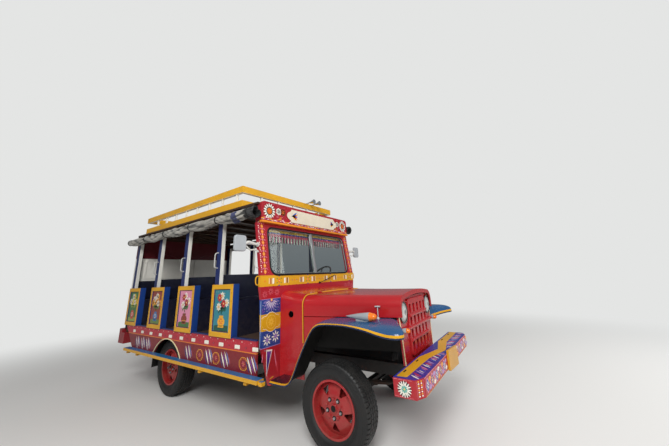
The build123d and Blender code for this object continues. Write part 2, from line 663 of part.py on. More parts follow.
# the bezel and the bucket behind it, from the lens's rim to the middle of the back: x, radius
lamp_side = [lens_rim, (BEZEL_T, lens_r), (BEZEL_T, BEZEL_R), (0, BEZEL_R), (0, bucket_r),
             (-BUCKET_D / 2, bucket_r), (-BUCKET_D, BUCKET_BACK_R), (-BUCKET_D, 0), (LENS_BULGE, 0)]
lamp_profile = make_face([lens, Polyline(*lamp_side)])
lamp = Pos(GRILLE_X, LAMP_Y, LAMP_Z) * revolve(Plane.XY * lamp_profile, Axis.X)
write("headlamps", pair(lamp))

# Wings: a pressed skin from a flat top over the wheel down to a step
SHOULDER_R = 20.0
WING_INNER = 380.0
LEG_FOOT_X = -475.0
LEG_TOP_X = -165.0
WING_NOSE_X = 702.0
WING_NOSE_INNER = (524.0, 446.0)
WING_NOSE_R = 90.0
STEP_R = 60.0
KNEE_R = 130.0
# the lip below the outer side, from the nose to the step: x, z, corner radius
WING_LIP = [(900, 958, 0), (556, 938, 260), (250, FENDER_LIP, 200), (-130, FENDER_LIP, 110),
            (-450, COWL_BOTTOM, 50), (FENDER_REAR, COWL_BOTTOM, 0)]
WING_AHEAD = 900.0


def wing_solid(inset):
    """The left wing's envelope, or with an inset the space under its skin."""
    rear = FENDER_REAR - inset * 4
    top = [(rear, STEP_TOP - inset), (LEG_FOOT_X + inset * 0.6, STEP_TOP - inset),
           (LEG_TOP_X + inset * 0.6, FENDER_TOP - inset), (WING_AHEAD, FENDER_TOP - inset)]
    radii = [0, STEP_R, KNEE_R, 0]
    if inset == 0:
        low = [(x, z) for x, z, radius in WING_LIP]
        radii += [radius for x, z, radius in WING_LIP]
    else:
        low = [(WING_AHEAD, 0), (rear, 0)]
        radii += [0, 0]
    band = across(WING_INNER, FENDER_OUT - inset, rounded(top + low, radii))
    shoulder = [e for e in band.edges() if on_shoulder(e, inset)]
    band = fillet(shoulder, SHOULDER_R - inset)
    nose_x, nose_y = WING_NOSE_INNER
    front = GRILLE_X - GRILLE_T
    # from above, round the outer side, the nose and back along the bonnet and cowl: x, y, corner radius
    outline = [(rear, FENDER_OUT - inset, 0),
               (WING_NOSE_X - inset * 1.4, FENDER_OUT - inset, WING_NOSE_R - inset),
               (nose_x - inset * 1.1, nose_y, 0), (front, side_half(front), 0),
               (BONNET_REAR, COWL_FRONT_HALF, 0), (COWL_FRONT, COWL_FRONT_HALF, 0),
               (WALL_X, COWL_REAR_HALF, 0), (rear, COWL_REAR_HALF + 1, 0)]
    plan = rounded([(x, y) for x, y, radius in outline], [radius for x, y, radius in outline])
    return band & upward(0, 2 * FENDER_TOP, plan)


def wing_top(x, inset):
    """The height of the wing's top at a place along the bus, leaving its round corners out."""
    if x < LEG_FOOT_X:
        return STEP_TOP - inset
    if x > LEG_TOP_X:
        return FENDER_TOP - inset
    share = (x - LEG_FOOT_X) / (LEG_TOP_X - LEG_FOOT_X)
    return STEP_TOP - inset + share * (FENDER_TOP - STEP_TOP)


def on_shoulder(edge, inset):
    """True for the edges where the wing's top meets its outer side."""
    middle = edge @ 0.5
    outer = abs(middle.Y - (FENDER_OUT - inset)) < 0.5
    return outer and abs(middle.Z - wing_top(middle.X, inset)) < SHOULDER_R * 0.7


wing = wing_solid(0) - wing_solid(SKIN)
APRON_FOOT = 735.0
apron_front = GRILLE_X - GRILLE_T
apron_face = polygon((apron_front, side_half(apron_front)), (BONNET_REAR, COWL_FRONT_HALF),
                     (COWL_FRONT, COWL_FRONT_HALF), (COWL_FRONT, COWL_FRONT_HALF - SKIN),
                     (BONNET_REAR, COWL_FRONT_HALF - SKIN), (apron_front, side_half(apron_front) - SKIN))
wing += upward(APRON_FOOT, FENDER_TOP, apron_face)
write("front_wings", pair(wing))

# Cowl: the red housing between the bonnet and the coach's front wall, open underneath, with its firewall
COWL_R = 100.0


def hood_section(half, side_z, top_z, foot_z, crown):
    """Bonnet or cowl outline in y and z: upright sides, round shoulders and a slightly crowned top."""
    left = Line((-half, foot_z), (-half, side_z))
    shoulder = top_z - side_z
    arc_left = ThreePointArc((-half, side_z), (-half + shoulder * 0.293, top_z - shoulder * 0.293),
                             (-half + shoulder, top_z))
    roof = ThreePointArc((-half + shoulder, top_z), (0, top_z + crown), (half - shoulder, top_z))
    arc_right = ThreePointArc((half - shoulder, top_z), (half - shoulder * 0.293, top_z - shoulder * 0.293),
                              (half, side_z))
    right = Line((half, side_z), (half, foot_z))
    foot = Line((half, foot_z), (-half, foot_z))
    return make_face([left, arc_left, roof, arc_right, right, foot])


def hood_loft(sections):
    """A skin's envelope through two outlines, each at its own x."""
    faces = []
    for x, half, top_z, foot_z, crown in sections:
        plane = Plane(origin=(x, 0, 0), x_dir=(0, 1, 0), z_dir=(1, 0, 0))
        faces.append(plane * hood_section(half, top_z - COWL_R, top_z, foot_z, crown))
    return loft(faces, ruled=True)


CROWN = 10.0
INSIDE_FOOT = COWL_BOTTOM - 60.0
cowl_out = hood_loft([(WALL_X, COWL_REAR_HALF, COWL_REAR_Z, COWL_BOTTOM, CROWN),
                      (COWL_FRONT, COWL_FRONT_HALF, BONNET_REAR_Z, COWL_BOTTOM, CROWN)])
cowl_in = hood_loft([(WALL_X, COWL_REAR_HALF - SKIN, COWL_REAR_Z - SKIN, INSIDE_FOOT, CROWN),
                     (COWL_FRONT, COWL_FRONT_HALF - SKIN, BONNET_REAR_Z - SKIN, INSIDE_FOOT, CROWN)])
FIREWALL_BEHIND = 14.0
firewall_x = COWL_FRONT - FIREWALL_BEHIND
firewall_half = side_half(firewall_x) - SKIN / 2
firewall_foot = FLOOR_TOP - FLOOR_T
firewall = hood_loft([(x, firewall_half, BONNET_REAR_Z - SKIN / 2, firewall_foot, CROWN)
                      for x in (firewall_x - SKIN, firewall_x)])
cowl = cowl_out - cowl_in + firewall
VENT_X = -615.0
VENT_Z = 1028.0
VENT_R = 33.0
cowl -= rod((VENT_X, -BODY_HALF, VENT_Z), (VENT_X, BODY_HALF, VENT_Z), VENT_R)
HINGE_R = 7.0
HINGE_PIN_R = 3.0
HINGE_Y = 330.0
HINGE_LEAF_T = 4.0
HINGE_LEAF_L = 50.0
HINGE_RISE = 14.0
HINGE_Z = BONNET_REAR_Z + HINGE_RISE
HINGE_X = BONNET_REAR - BONNET_GAP / 2
KNUCKLE_W = 22.0
KNUCKLE_GAP = 1.0


def hinge_barrel(y, direction):
    """One knuckle of a bonnet hinge with its leaf, which lies on the skin ahead of or behind the pin."""
    y0 = y - KNUCKLE_W / 2
    y1 = y + KNUCKLE_W / 2
    barrel = rod((HINGE_X, y0, HINGE_Z), (HINGE_X, y1, HINGE_Z), HINGE_R)
    leaf_top = HINGE_Z - HINGE_R + HINGE_LEAF_T
    barrel += block(HINGE_X, HINGE_X + direction * HINGE_LEAF_L, y0, y1, HINGE_Z - HINGE_R, leaf_top)
    barrel += block(HINGE_X + direction * 2 * HINGE_R, HINGE_X + direction * HINGE_LEAF_L, y0, y1,
                    BONNET_REAR_Z, leaf_top)
    return barrel


for side in (-1, 1):
    for s in (-1, 1):
        cowl += hinge_barrel(side * HINGE_Y + s * (KNUCKLE_W + KNUCKLE_GAP), -1)
    pin_in = (HINGE_X, side * HINGE_Y - 1.4 * KNUCKLE_W, HINGE_Z)
    pin_out = (HINGE_X, side * HINGE_Y + 1.4 * KNUCKLE_W, HINGE_Z)
    cowl += rod(pin_in, pin_out, HINGE_PIN_R)
write("cowl", cowl)

# Bonnet: a crowned pressing with round shoulders and a lip that hangs over the grille
FRONT_FLARE = 18.0
FRONT_CROWN = 26.0
LIP_T = 12.0
LIP_CLEAR = 4.0
LIP_TOP = 1164.0
LIP_SHOULDER = 104.0
flared_half = BONNET_FRONT_HALF + FRONT_FLARE
inside_foot = BONNET_SIDE_Z - 5 * LIP_T
bonnet_out = hood_loft([(BONNET_REAR, COWL_FRONT_HALF, BONNET_REAR_Z, BONNET_SIDE_Z, CROWN),
                        (BONNET_FRONT, flared_half, BONNET_FRONT_Z, BONNET_SIDE_Z, FRONT_CROWN)])
rear_inside = (BONNET_REAR - LIP_T, COWL_FRONT_HALF - SKIN, BONNET_REAR_Z - SKIN, inside_foot, CROWN)
front_inside = (BONNET_FRONT - LIP_T, flared_half - SKIN, BONNET_FRONT_Z - SKIN, inside_foot, FRONT_CROWN)
bonnet_in = hood_loft([rear_inside, front_inside])
lip_arch = hood_section(BONNET_FRONT_HALF + LIP_CLEAR, LIP_TOP - LIP_SHOULDER, LIP_TOP, inside_foot, 2 * CROWN)
bonnet = bonnet_out - bonnet_in - along(BONNET_FRONT - 4 * LIP_T, BONNET_FRONT + LIP_T, lip_arch)
for side in (-1, 1):
    y = side * HINGE_Y
    bonnet += hinge_barrel(y, 1)
    bonnet -= rod((HINGE_X, y - KNUCKLE_W, HINGE_Z), (HINGE_X, y + KNUCKLE_W, HINGE_Z), HINGE_PIN_R + RUN_CLEAR)
write("bonnet", bonnet)

# Lamps on the wings: a torpedo lamp on each top and a small turn signal beside the grille
TORPEDO_R = 37.0
TORPEDO_Y = 680.0
TORPEDO_TIP = 108.0
TORPEDO_BACK = 250.0
TORPEDO_BODY = 362.0
TORPEDO_BEZEL = 392.0
TORPEDO_FRONT = 424.0
AMBER_R = 29.0
FOOT_REAR = 225.0
FOOT_FRONT = 345.0
FOOT_HALF = 14.0
torpedo_z = FENDER_TOP + TORPEDO_R + SEAT_CLEAR
amber = ThreePointArc((TORPEDO_FRONT, 0), (TORPEDO_FRONT - 9, AMBER_R * 0.7), (TORPEDO_BEZEL, AMBER_R))
shell = ThreePointArc((TORPEDO_BODY, TORPEDO_R), (TORPEDO_BACK, TORPEDO_R * 0.7), (TORPEDO_TIP, 0))
profile = make_face([Line((TORPEDO_TIP, 0), (TORPEDO_FRONT, 0)), amber,
                     Line((TORPEDO_BEZEL, AMBER_R), (TORPEDO_BODY, TORPEDO_R)), shell])
torpedo = Pos(0, TORPEDO_Y, torpedo_z) * revolve(Plane.XY * profile, Axis.X)
torpedo += block(FOOT_REAR, FOOT_FRONT, TORPEDO_Y - FOOT_HALF, TORPEDO_Y + FOOT_HALF, FENDER_TOP, torpedo_z)
SIGNAL_R = 21.0
SIGNAL_L = 78.0
SIGNAL_NECK_R = 15.0
SIGNAL_Y = 423.0
SIGNAL_Z = 903.0
signal_tip = ThreePointArc((SIGNAL_L, 0), (SIGNAL_L - 7, SIGNAL_R * 0.7), (SIGNAL_L - SIGNAL_R, SIGNAL_R))
signal_side = Polyline((SIGNAL_L - SIGNAL_R, SIGNAL_R), (SIGNAL_L / 3, SIGNAL_R), (0, SIGNAL_NECK_R),
                       (0, 0), (SIGNAL_L, 0))
signal_profile = make_face([signal_tip, signal_side])
signal = Pos(GRILLE_X, SIGNAL_Y, SIGNAL_Z) * revolve(Plane.XY * signal_profile, Axis.X)
write("wing_lamps", pair(torpedo) + pair(signal))

# Front wall of the coach: footwell opening, leaning windshield frame and the beam over it
lean = math.radians(SCREEN_LEAN)
WALL_INNER = 400.0
BAR_R = 8.0
SILL_H = 30.0
PANE_FIT = 0.2
# outer edge of the wall below the band: how far inside the body's side, and at what height
WALL_EDGE = [(151, WALL_FOOT_Z), (44, 740), (22, 1196), (0, BAND_BOTTOM), (0, BAND_TOP)]
half_outline = [(0, RUNNER_H), (WALL_INNER, RUNNER_H), (WALL_INNER, WALL_FOOT_Z)]
half_outline += [(BODY_HALF - inset, z) for inset, z in WALL_EDGE]
half_outline += [(0, BAND_TOP)]
half_wall = along(WALL_X - WALL_T, WALL_X, polygon(*half_outline))
wall = half_wall + mirrored(half_wall)
FOOTWELL_HALF = 560.0
FOOTWELL_TOP = 1215.0
wall -= block(WALL_X - WALL_T, WALL_X, -FOOTWELL_HALF, FOOTWELL_HALF, FLOOR_TOP, FOOTWELL_TOP)
screen_plane = Plane(origin=(WALL_X, 0, BAND_TOP), x_dir=(0, 1, 0), z_dir=(math.cos(lean), 0, math.sin(lean)))
screen_h = (HEADER_Z0 - BAND_TOP) / math.cos(lean)
frame_face = Pos(0, screen_h / 2) * Rectangle(2 * BODY_HALF, screen_h)
pane_h = (SCREEN_TOP - BAND_TOP) / math.cos(lean)


def pane(side, gap):
    """One windshield pane's outline in the leaning plane, shrunk by a gap all round."""
    y0 = SCREEN_BAR / 2 + gap
    y1 = SCREEN_HALF - gap
    z0 = PANE_FOOT + gap
    z1 = pane_h - gap
    corners = [(side * y0, z0), (side * y1, z0), (side * y1, z1), (side * y0, z1)]
    return rounded(corners, [BAR_R - gap, SCREEN_R - gap, SCREEN_R * 0.8 - gap, BAR_R - gap])


for side in (-1, 1):
    frame_face -= pane(side, 0)
screen_frame = screen_plane * extrude(frame_face, amount=-WALL_T)
wall += screen_frame
wall += block(WALL_X - WALL_T, WALL_X, -BODY_HALF, BODY_HALF, BAND_TOP - SILL_H, BAND_TOP)
header_back = WALL_X - (HEADER_Z0 - BAND_TOP) * math.tan(lean) - 1.0
BEAM_D = 60.0
wall += block(header_back - BEAM_D, header_back, -HEADER_HALF, HEADER_HALF, HEADER_Z0 - 6, CANT_Z1 + RIB_H)
write("front_wall", wall)
glass = [screen_plane * Pos(0, 0, -WALL_T / 2) * extrude(pane(side, PANE_FIT), amount=GLASS_T)
         for side in (-1, 1)]
write("windshield_glass", glass)

# Header board over the windshield, with a drip ledge along its foot and a raised, blank name plaque
header_face = rounded([(-HEADER_HALF, HEADER_Z0), (HEADER_HALF, HEADER_Z0), (HEADER_HALF, HEADER_Z1),
                       (-HEADER_HALF, HEADER_Z1)], [0, 0, HEADER_R, HEADER_R])
header_front = header_back + HEADER_T
header = along(header_back, header_front, header_face)
header += block(header_front, header_front + LEDGE_D, -HEADER_HALF, HEADER_HALF, HEADER_Z0, HEADER_Z0 + LEDGE_H)
plaque_z = (HEADER_Z0 + LEDGE_H + HEADER_Z1) / 2
plaque_face = Pos(PLAQUE_Y, plaque_z) * Rectangle(PLAQUE_W, PLAQUE_H)
for side in (-1, 1):
    plaque_end = PLAQUE_Y + side * PLAQUE_W / 2
    plaque_face += Pos(plaque_end, plaque_z) * Circle(PLAQUE_EAR_R)
    for s in (-1, 1):
        plaque_face -= Pos(plaque_end, plaque_z + s * PLAQUE_H / 2) * Circle(PLAQUE_NOTCH_R)
header += along(header_front, header_front + PLAQUE_T, plaque_face)
write("header_board", header)

# Floor: two runners on the rails, cross bearers and the deck, with the footwell boards
body_front = WALL_X - WALL_T
floor = block(REAR_IN, body_front, -BODY_HALF + SKIRT_T, BODY_HALF - SKIRT_T, FLOOR_TOP - FLOOR_T, FLOOR_TOP)
for side in (-1, 1):
    floor += block(REAR_BUMPER_FRONT, body_front, side * RAIL_IN, side * RAIL_OUT, RAIL_TOP, RUNNER_H)
BEARERS = 9
bearer_step = (body_front - REAR_IN - BEARER_W) / (BEARERS - 1)
for number in range(BEARERS):
    x = REAR_IN + number * bearer_step
    floor += block(x, x + BEARER_W, -BODY_HALF + SKIRT_T, BODY_HALF - SKIRT_T, RUNNER_H, FLOOR_TOP - FLOOR_T)
footboard = block(WALL_X, firewall_x - SKIN, -FOOTWELL_HALF, FOOTWELL_HALF, FLOOR_TOP - FLOOR_T, FLOOR_TOP)
write("floor_deck", [floor, footboard])

# Side skirts below the floor, cut for the rear wheel and sloped up at the tail
arch_x = -WHEELBASE + ARCH_AHEAD
SKIRT_TAIL_TOP = REAR_IN + 60.0
SKIRT_TAIL_FOOT = -3640.0
skirt_face = polygon((body_front, SKIRT_BOTTOM), (body_front, FLOOR_TOP), (SKIRT_TAIL_TOP, FLOOR_TOP),
                     (SKIRT_TAIL_FOOT, SKIRT_BOTTOM))
skirt_face -= Pos(arch_x, ARCH_Z) * Circle(ARCH_R)
write("side_skirts", pair(across(BODY_HALF - SKIRT_T, BODY_HALF, skirt_face)))

# Running boards on brackets from the rails
board_foot = BOARD_TOP - BOARD_T
board = block(BOARD_REAR, BOARD_FRONT, BODY_HALF, BOARD_OUT, board_foot, BOARD_TOP)
TOE_L = 45.0
TOE_DROP = 12.0
TOE_IN = 20.0
board += block(BOARD_FRONT, BOARD_FRONT + TOE_L, BODY_HALF + TOE_IN, BOARD_OUT - TOE_IN,
               board_foot - TOE_DROP, BOARD_TOP - TOE_DROP)
BRACKET_XS = [-900, -1700, -3350, -3680]
BRACKET_L = 40.0
BRACKET_H = 36.0
BRACKET_INSET = 25.0
BRACKET_T = 8.0
BRACKET_RISE = 60.0
bracket_foot = board_foot - BRACKET_H
bracket_top = RAIL_BOTTOM + BRACKET_RISE
for x in BRACKET_XS:
    board += block(x, x + BRACKET_L, RAIL_OUT, BOARD_OUT - BRACKET_INSET, bracket_foot, board_foot)
    board += block(x, x + BRACKET_L, RAIL_OUT, RAIL_OUT + BRACKET_T, board_foot, bracket_top)
write("running_boards", pair(board))

# Posts, the long cant rails they carry, and the ribs across the roof
posts = []
end_panels = []
cant = block(REAR_FACE, header_back - BEAM_D, CANT_OUT - CANT_W, CANT_OUT, CANT_Z0, CANT_Z1)
for row in range(ROWS):
    x0 = FIRST_POST_X - row * ROW_PITCH
    upright = block(x0, x0 + POST_L, POST_IN, POST_OUT, FLOOR_TOP, CANT_Z0)
    posts += pair(upright)
    panel = block(x0, x0 + END_PANEL_L, POST_IN, END_PANEL_OUT, FLOOR_TOP, END_PANEL_TOP)
    panel -= block(x0 + END_FRAME_W, x0 + END_PANEL_L - END_FRAME_W, END_PANEL_OUT - END_RECESS, END_PANEL_OUT,
                   FLOOR_TOP + END_FRAME_W, END_PANEL_TOP - END_FRAME_W)
    panel -= upright
    end_panels += pair(panel)
write("side_posts", posts)
write("seat_end_panels", end_panels)
roof_frame = cant + mirrored(cant)
RIBS = 9
RIB_W = 40.0
rib_step = (header_back - BEAM_D - RIB_W - REAR_FACE) / (RIBS - 1)
for number in range(RIBS):
    x = REAR_FACE + number * rib_step
    roof_frame += block(x, x + RIB_W, -CANT_OUT, CANT_OUT, CANT_Z1, CANT_Z1 + RIB_H)
write("roof_frame", roof_frame)
write("roof_panel", block(REAR_FACE, header_back, -BODY_HALF, BODY_HALF, CANT_Z1 + RIB_H, ROOF_TOP))

# Benches: a boarded front, a seat board and a back board between the end panels
benches = []
for row in range(ROWS):
    x0 = FIRST_POST_X - row * ROW_PITCH
    half = POST_IN
    front = x0 + END_PANEL_L
    bench = block(front - BENCH_FRONT_T, front, -half, half, FLOOR_TOP, SEAT_BOARD_Z)
    bench += block(x0, front, -half, half, SEAT_BOARD_Z, SEAT_BOARD_Z + SEAT_BOARD_T)
    bench += block(x0, x0 + BACK_T, -half, half, FLOOR_TOP, BACK_TOP)
    benches.append(bench)
write("benches", benches)

# Rear wall, standing on the bumper, with two arched mouldings on its inner face over the last seat back
rear_wall = block(REAR_FACE, REAR_IN, -POST_OUT, POST_OUT, REAR_LIP_Z1, CANT_Z0)
rear_wall += block(REAR_FACE, REAR_IN, -CANT_OUT + CANT_W, CANT_OUT - CANT_W, CANT_Z0, CANT_Z1)
MOULD_W = 28.0
MOULD_T = 12.0
MOULD_IN = 110.0
MOULD_OUT = POST_IN - 90.0
MOULD_FOOT = BACK_TOP + 35.0
MOULD_SPRING = 1800.0
mould_half = (MOULD_OUT - MOULD_IN) / 2
mould_y = (MOULD_OUT + MOULD_IN) / 2


def arch(inset):
    """An upright panel with a low arched head, shrunk by an inset all round."""
    half = mould_half - inset
    head_top = MOULD_SPRING + mould_half / 2 - inset
    head = ThreePointArc((half, MOULD_SPRING), (0, head_top), (-half, MOULD_SPRING))
    foot_z = MOULD_FOOT + inset
    sides = Polyline((-half, MOULD_SPRING), (-half, foot_z), (half, foot_z), (half, MOULD_SPRING))
    return make_face([head, sides])


moulding = along(REAR_IN, REAR_IN + MOULD_T, Pos(mould_y, 0) * (arch(0) - arch(MOULD_W)))
rear_wall += moulding + mirrored(moulding)
write("rear_wall", rear_wall)

# Rear bumper: a deep box under the tail, carried by the rails, with a lip up behind the rear wall
rear_bumper = block(REAR_BUMPER_REAR, REAR_BUMPER_FRONT, -REAR_BUMPER_HALF, REAR_BUMPER_HALF,
                    REAR_BUMPER_Z0, REAR_BUMPER_Z1)
rear_bumper += block(REAR_BUMPER_REAR, REAR_FACE, -REAR_BUMPER_HALF, REAR_BUMPER_HALF,
                     REAR_BUMPER_Z1, REAR_LIP_Z1)
rear_corners = rear_bumper.edges().filter_by(Axis.Z).group_by(Axis.X)[0]
rear_bumper = fillet(rear_corners, REAR_BUMPER_R)
write("rear_bumper", rear_bumper)

# Ladder up to the rack at the back, standing on the bumper and held off the rear wall by four brackets
LADDER_IN = 450.0
LADDER_Y = LADDER_IN - BODY_HALF
LADDER_HALF = 170.0
LADDER_W = 32.0
LADDER_D = 26.0
LADDER_OFF = 65.0
BRACKET_INSET_Z = 60.0
LADDER_TOP = ROOF_TOP + RACK_LOW_H
RUNGS = 6
RUNG_R = 11.0
RUNG_FIRST = 200.0
RUNG_PITCH = 260.0
ladder_front = REAR_FACE - LADDER_OFF
ladder_mid = ladder_front - LADDER_D / 2
ladder = None
for s in (-1, 1):
    y = LADDER_Y + s * LADDER_HALF
    side_rail = block(ladder_front - LADDER_D, ladder_front, y - LADDER_W / 2, y + LADDER_W / 2,
                      REAR_LIP_Z1, LADDER_TOP)
    for z in (FLOOR_TOP + BRACKET_INSET_Z, CANT_Z0 - BRACKET_INSET_Z):
        side_rail += block(ladder_front, REAR_FACE, y - LADDER_W / 2, y + LADDER_W / 2, z - RUNG_R, z + RUNG_R)
    ladder = side_rail if ladder is None else ladder + side_rail
for number in range(RUNGS):
    z = REAR_LIP_Z1 + RUNG_FIRST + number * RUNG_PITCH
    ladder += rod((ladder_mid, LADDER_Y - LADDER_HALF, z), (ladder_mid, LADDER_Y + LADDER_HALF, z), RUNG_R)
write("rear_ladder", ladder)

# Rack: two painted rails all round the roof, joined by spindles
rack_low_top = ROOF_TOP + RACK_LOW_H
rack = None
for z0, z1 in ((ROOF_TOP, rack_low_top), (RACK_TOP_Z0, RACK_TOP_Z1)):
    ring = block(RACK_REAR, RACK_FRONT, -RACK_HALF, RACK_HALF, z0, z1)
    ring -= block(RACK_REAR + RACK_RAIL_T, RACK_FRONT - RACK_RAIL_T, -RACK_HALF + RACK_RAIL_T,
                  RACK_HALF - RACK_RAIL_T, z0, z1)
    rack = ring if rack is None else rack + ring
rail_mid = RACK_RAIL_T / 2
side_count = int((RACK_FRONT - RACK_REAR - 2 * SPINDLE_END) // SPINDLE_PITCH) + 1
end_count = int((2 * RACK_HALF - RACK_RAIL_T) // SPINDLE_PITCH)
spindle_places = []
for number in range(side_count):
    x = RACK_FRONT - SPINDLE_END - number * SPINDLE_PITCH
    spindle_places += [(x, RACK_HALF - rail_mid), (x, rail_mid - RACK_HALF)]
for number in range(end_count):
    y = (number - (end_count - 1) / 2) * SPINDLE_PITCH
    spindle_places += [(RACK_FRONT - rail_mid, y), (RACK_REAR + rail_mid, y)]
half = SPINDLE_W / 2
for x, y in spindle_places:
    rack += block(x - half, x + half, y - half, y + half, rack_low_top, RACK_TOP_Z0)
write("roof_rack", rack)

# Rolled tarpaulins along both roof edges: between its ties each roll is thicker and sags
TARP_R = 62.0
TARP_TIE_R = 44.0
TARP_SAG = 12.0
TARP_Z = 2145.0
# where the rolls end or are tied, from the front
TARP_TIES = [-800.0, -1530.0, -2170.0, -2900.0, -3560.0, -4200.0]
tarp_y = CANT_OUT + SEAT_CLEAR + TARP_R


def roll_section(x, z, radius):
    """A round section of the roll, facing along the bus."""
    return Plane(origin=(x, tarp_y, z), x_dir=(0, 1, 0), z_dir=(1, 0, 0)) * Circle(radius)


tarp = None
for front_x, rear_x in zip(TARP_TIES, TARP_TIES[1:]):
    middle_x = (front_x + rear_x) / 2
    sections = [roll_section(rear_x, TARP_Z, TARP_TIE_R), roll_section(middle_x, TARP_Z - TARP_SAG, TARP_R),
                roll_section(front_x, TARP_Z, TARP_TIE_R)]
    bundle = loft(sections, ruled=True)
    tarp = bundle if tarp is None else tarp + bundle
write("tarp_rolls", pair(tarp))

# Mirrors on arms from the windshield pillars
MIRROR_BEHIND = 56.0
mirror_x = WALL_X - MIRROR_BEHIND
MIRROR_Z = 1768.0
MIRROR_W = 140.0
MIRROR_H = 165.0
MIRROR_T = 28.0
MIRROR_R = 30.0
MIRROR_ARM = 165.0
MIRROR_ARM_R = 9.0
mirror_y = BODY_HALF + MIRROR_ARM + MIRROR_W / 2
arm = rod((mirror_x, BODY_HALF, MIRROR_Z), (mirror_x, mirror_y, MIRROR_Z), MIRROR_ARM_R)
head_face = Pos(mirror_y, MIRROR_Z) * RectangleRounded(MIRROR_W, MIRROR_H, MIRROR_R)
head = along(mirror_x - MIRROR_T / 2, mirror_x + MIRROR_T / 2, head_face)
head = fillet(head.faces().sort_by(Axis.X)[-1].edges(), MIRROR_T / 3)
write("mirrors", pair(arm + head))

# Steering wheel on its column, and the dashboard
STEER_Y = 400.0
STEER_X = -1010.0
STEER_Z = 1400.0
COLUMN_FOOT_Z = 850.0
COLUMN_R = 20.0
STEER_R = 195.0
STEER_GRIP_R = 12.0
STEER_HUB_R = 34.0
STEER_HUB_H = 30.0
SPOKES = 3
SPOKE_W = 20.0
SPOKE_T = 10.0
column_foot = Vector(firewall_x - SKIN, STEER_Y, COLUMN_FOOT_Z)
column_top = Vector(STEER_X, STEER_Y, STEER_Z)
direction = (column_top - column_foot).normalized()
column = rod(column_foot - direction * 2 * COLUMN_R, column_top, COLUMN_R)
column -= block(firewall_x - SKIN, 0, 0, BODY_HALF, 0, STEER_Z)
wheel_plane = Plane(origin=column_top, z_dir=direction)
column += wheel_plane * Torus(STEER_R, STEER_GRIP_R)
column += wheel_plane * Cylinder(STEER_HUB_R, STEER_HUB_H)
for number in range(SPOKES):
    spoke = Pos(STEER_R / 2, 0, 0) * Box(STEER_R, SPOKE_W, SPOKE_T)
    column += wheel_plane * Rot(0, 0, 90 + number * 360 / SPOKES) * spoke
write("steering_wheel", column)
DASH_D = 72.0
DASH_HALF = 820.0
DASH_Z0 = 1290.0
DASH_Z1 = 1400.0
DASH_R = 24.0
dash = block(body_front - DASH_D, body_front, -DASH_HALF, DASH_HALF, DASH_Z0, DASH_Z1)
dash = fillet(dash.edges().filter_by(Axis.Y).group_by(Axis.X)[0], DASH_R)
write("dashboard", dash)

# Pair of air horns on the rack's front rail
HORN_L = 260.0
HORN_BELL_R = 38.0
HORN_AHEAD = 120.0
HORN_THROAT_R = 10.0
HORN_FLARE_X = 190.0
HORN_FLARE_R = 16.0
HORN_RISE = 20.0
HORN_YS = [330.0, 470.0]
bell = ThreePointArc((HORN_L, HORN_BELL_R), (HORN_FLARE_X, HORN_FLARE_R), (0, HORN_THROAT_R))
horn_profile = make_face([bell, Polyline((0, HORN_THROAT_R), (0, 0), (HORN_L, 0), (HORN_L, HORN_BELL_R))])
horn_z = RACK_TOP_Z1 + HORN_RISE
horns = []
for y in HORN_YS:
    horn = Pos(RACK_FRONT + HORN_AHEAD - HORN_L, y, horn_z) * revolve(Plane.XY * horn_profile, Axis.X)
    horn += block(RACK_FRONT - RACK_RAIL_T, RACK_FRONT - HORN_THROAT_R, y - HORN_THROAT_R, y + HORN_THROAT_R,
                  RACK_TOP_Z1, horn_z)
    horns.append(horn)
write("air_horns", horns)
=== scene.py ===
import math

import bmesh
import bpy
import numpy as np
from mathutils import Matrix, Vector


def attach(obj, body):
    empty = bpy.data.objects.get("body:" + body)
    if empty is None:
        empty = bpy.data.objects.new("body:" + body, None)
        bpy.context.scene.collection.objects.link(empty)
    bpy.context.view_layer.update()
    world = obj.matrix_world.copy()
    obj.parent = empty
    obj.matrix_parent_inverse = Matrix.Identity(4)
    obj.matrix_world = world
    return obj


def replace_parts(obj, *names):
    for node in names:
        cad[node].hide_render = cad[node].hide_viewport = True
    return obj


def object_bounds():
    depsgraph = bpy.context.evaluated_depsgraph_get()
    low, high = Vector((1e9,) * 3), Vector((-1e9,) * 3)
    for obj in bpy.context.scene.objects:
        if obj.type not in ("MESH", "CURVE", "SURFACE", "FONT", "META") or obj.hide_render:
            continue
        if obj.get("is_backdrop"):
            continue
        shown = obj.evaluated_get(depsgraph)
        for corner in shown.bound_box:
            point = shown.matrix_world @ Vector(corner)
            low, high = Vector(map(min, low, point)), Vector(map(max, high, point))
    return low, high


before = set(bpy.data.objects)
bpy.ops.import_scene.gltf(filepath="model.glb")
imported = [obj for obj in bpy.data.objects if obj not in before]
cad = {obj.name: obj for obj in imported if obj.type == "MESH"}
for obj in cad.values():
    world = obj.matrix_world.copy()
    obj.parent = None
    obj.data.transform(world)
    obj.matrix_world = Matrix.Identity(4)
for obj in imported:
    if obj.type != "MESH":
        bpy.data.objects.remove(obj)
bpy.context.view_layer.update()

# The bus is a painted wooden coach on an old bonneted truck, 5 m long. New pieces are drawn from the front
# axle.
MID_TO_FRONT_AXLE = 1.690

# The view: the place where the photograph was taken, beside the bus's right front corner and a little under
# eye height, through a very wide lens whose optical centre lies above the middle of the picture.
IMAGE_W = 669
IMAGE_H = 446
EYE = Vector((3.2501, -2.8991, 1.3891))
YAW = 2.1657
PITCH = 0.291
ROLL = -0.0516
FOCAL_PX = 268.37
OPTICAL_CENTRE_Y_PX = 196.2
SENSOR_MM = 36.0

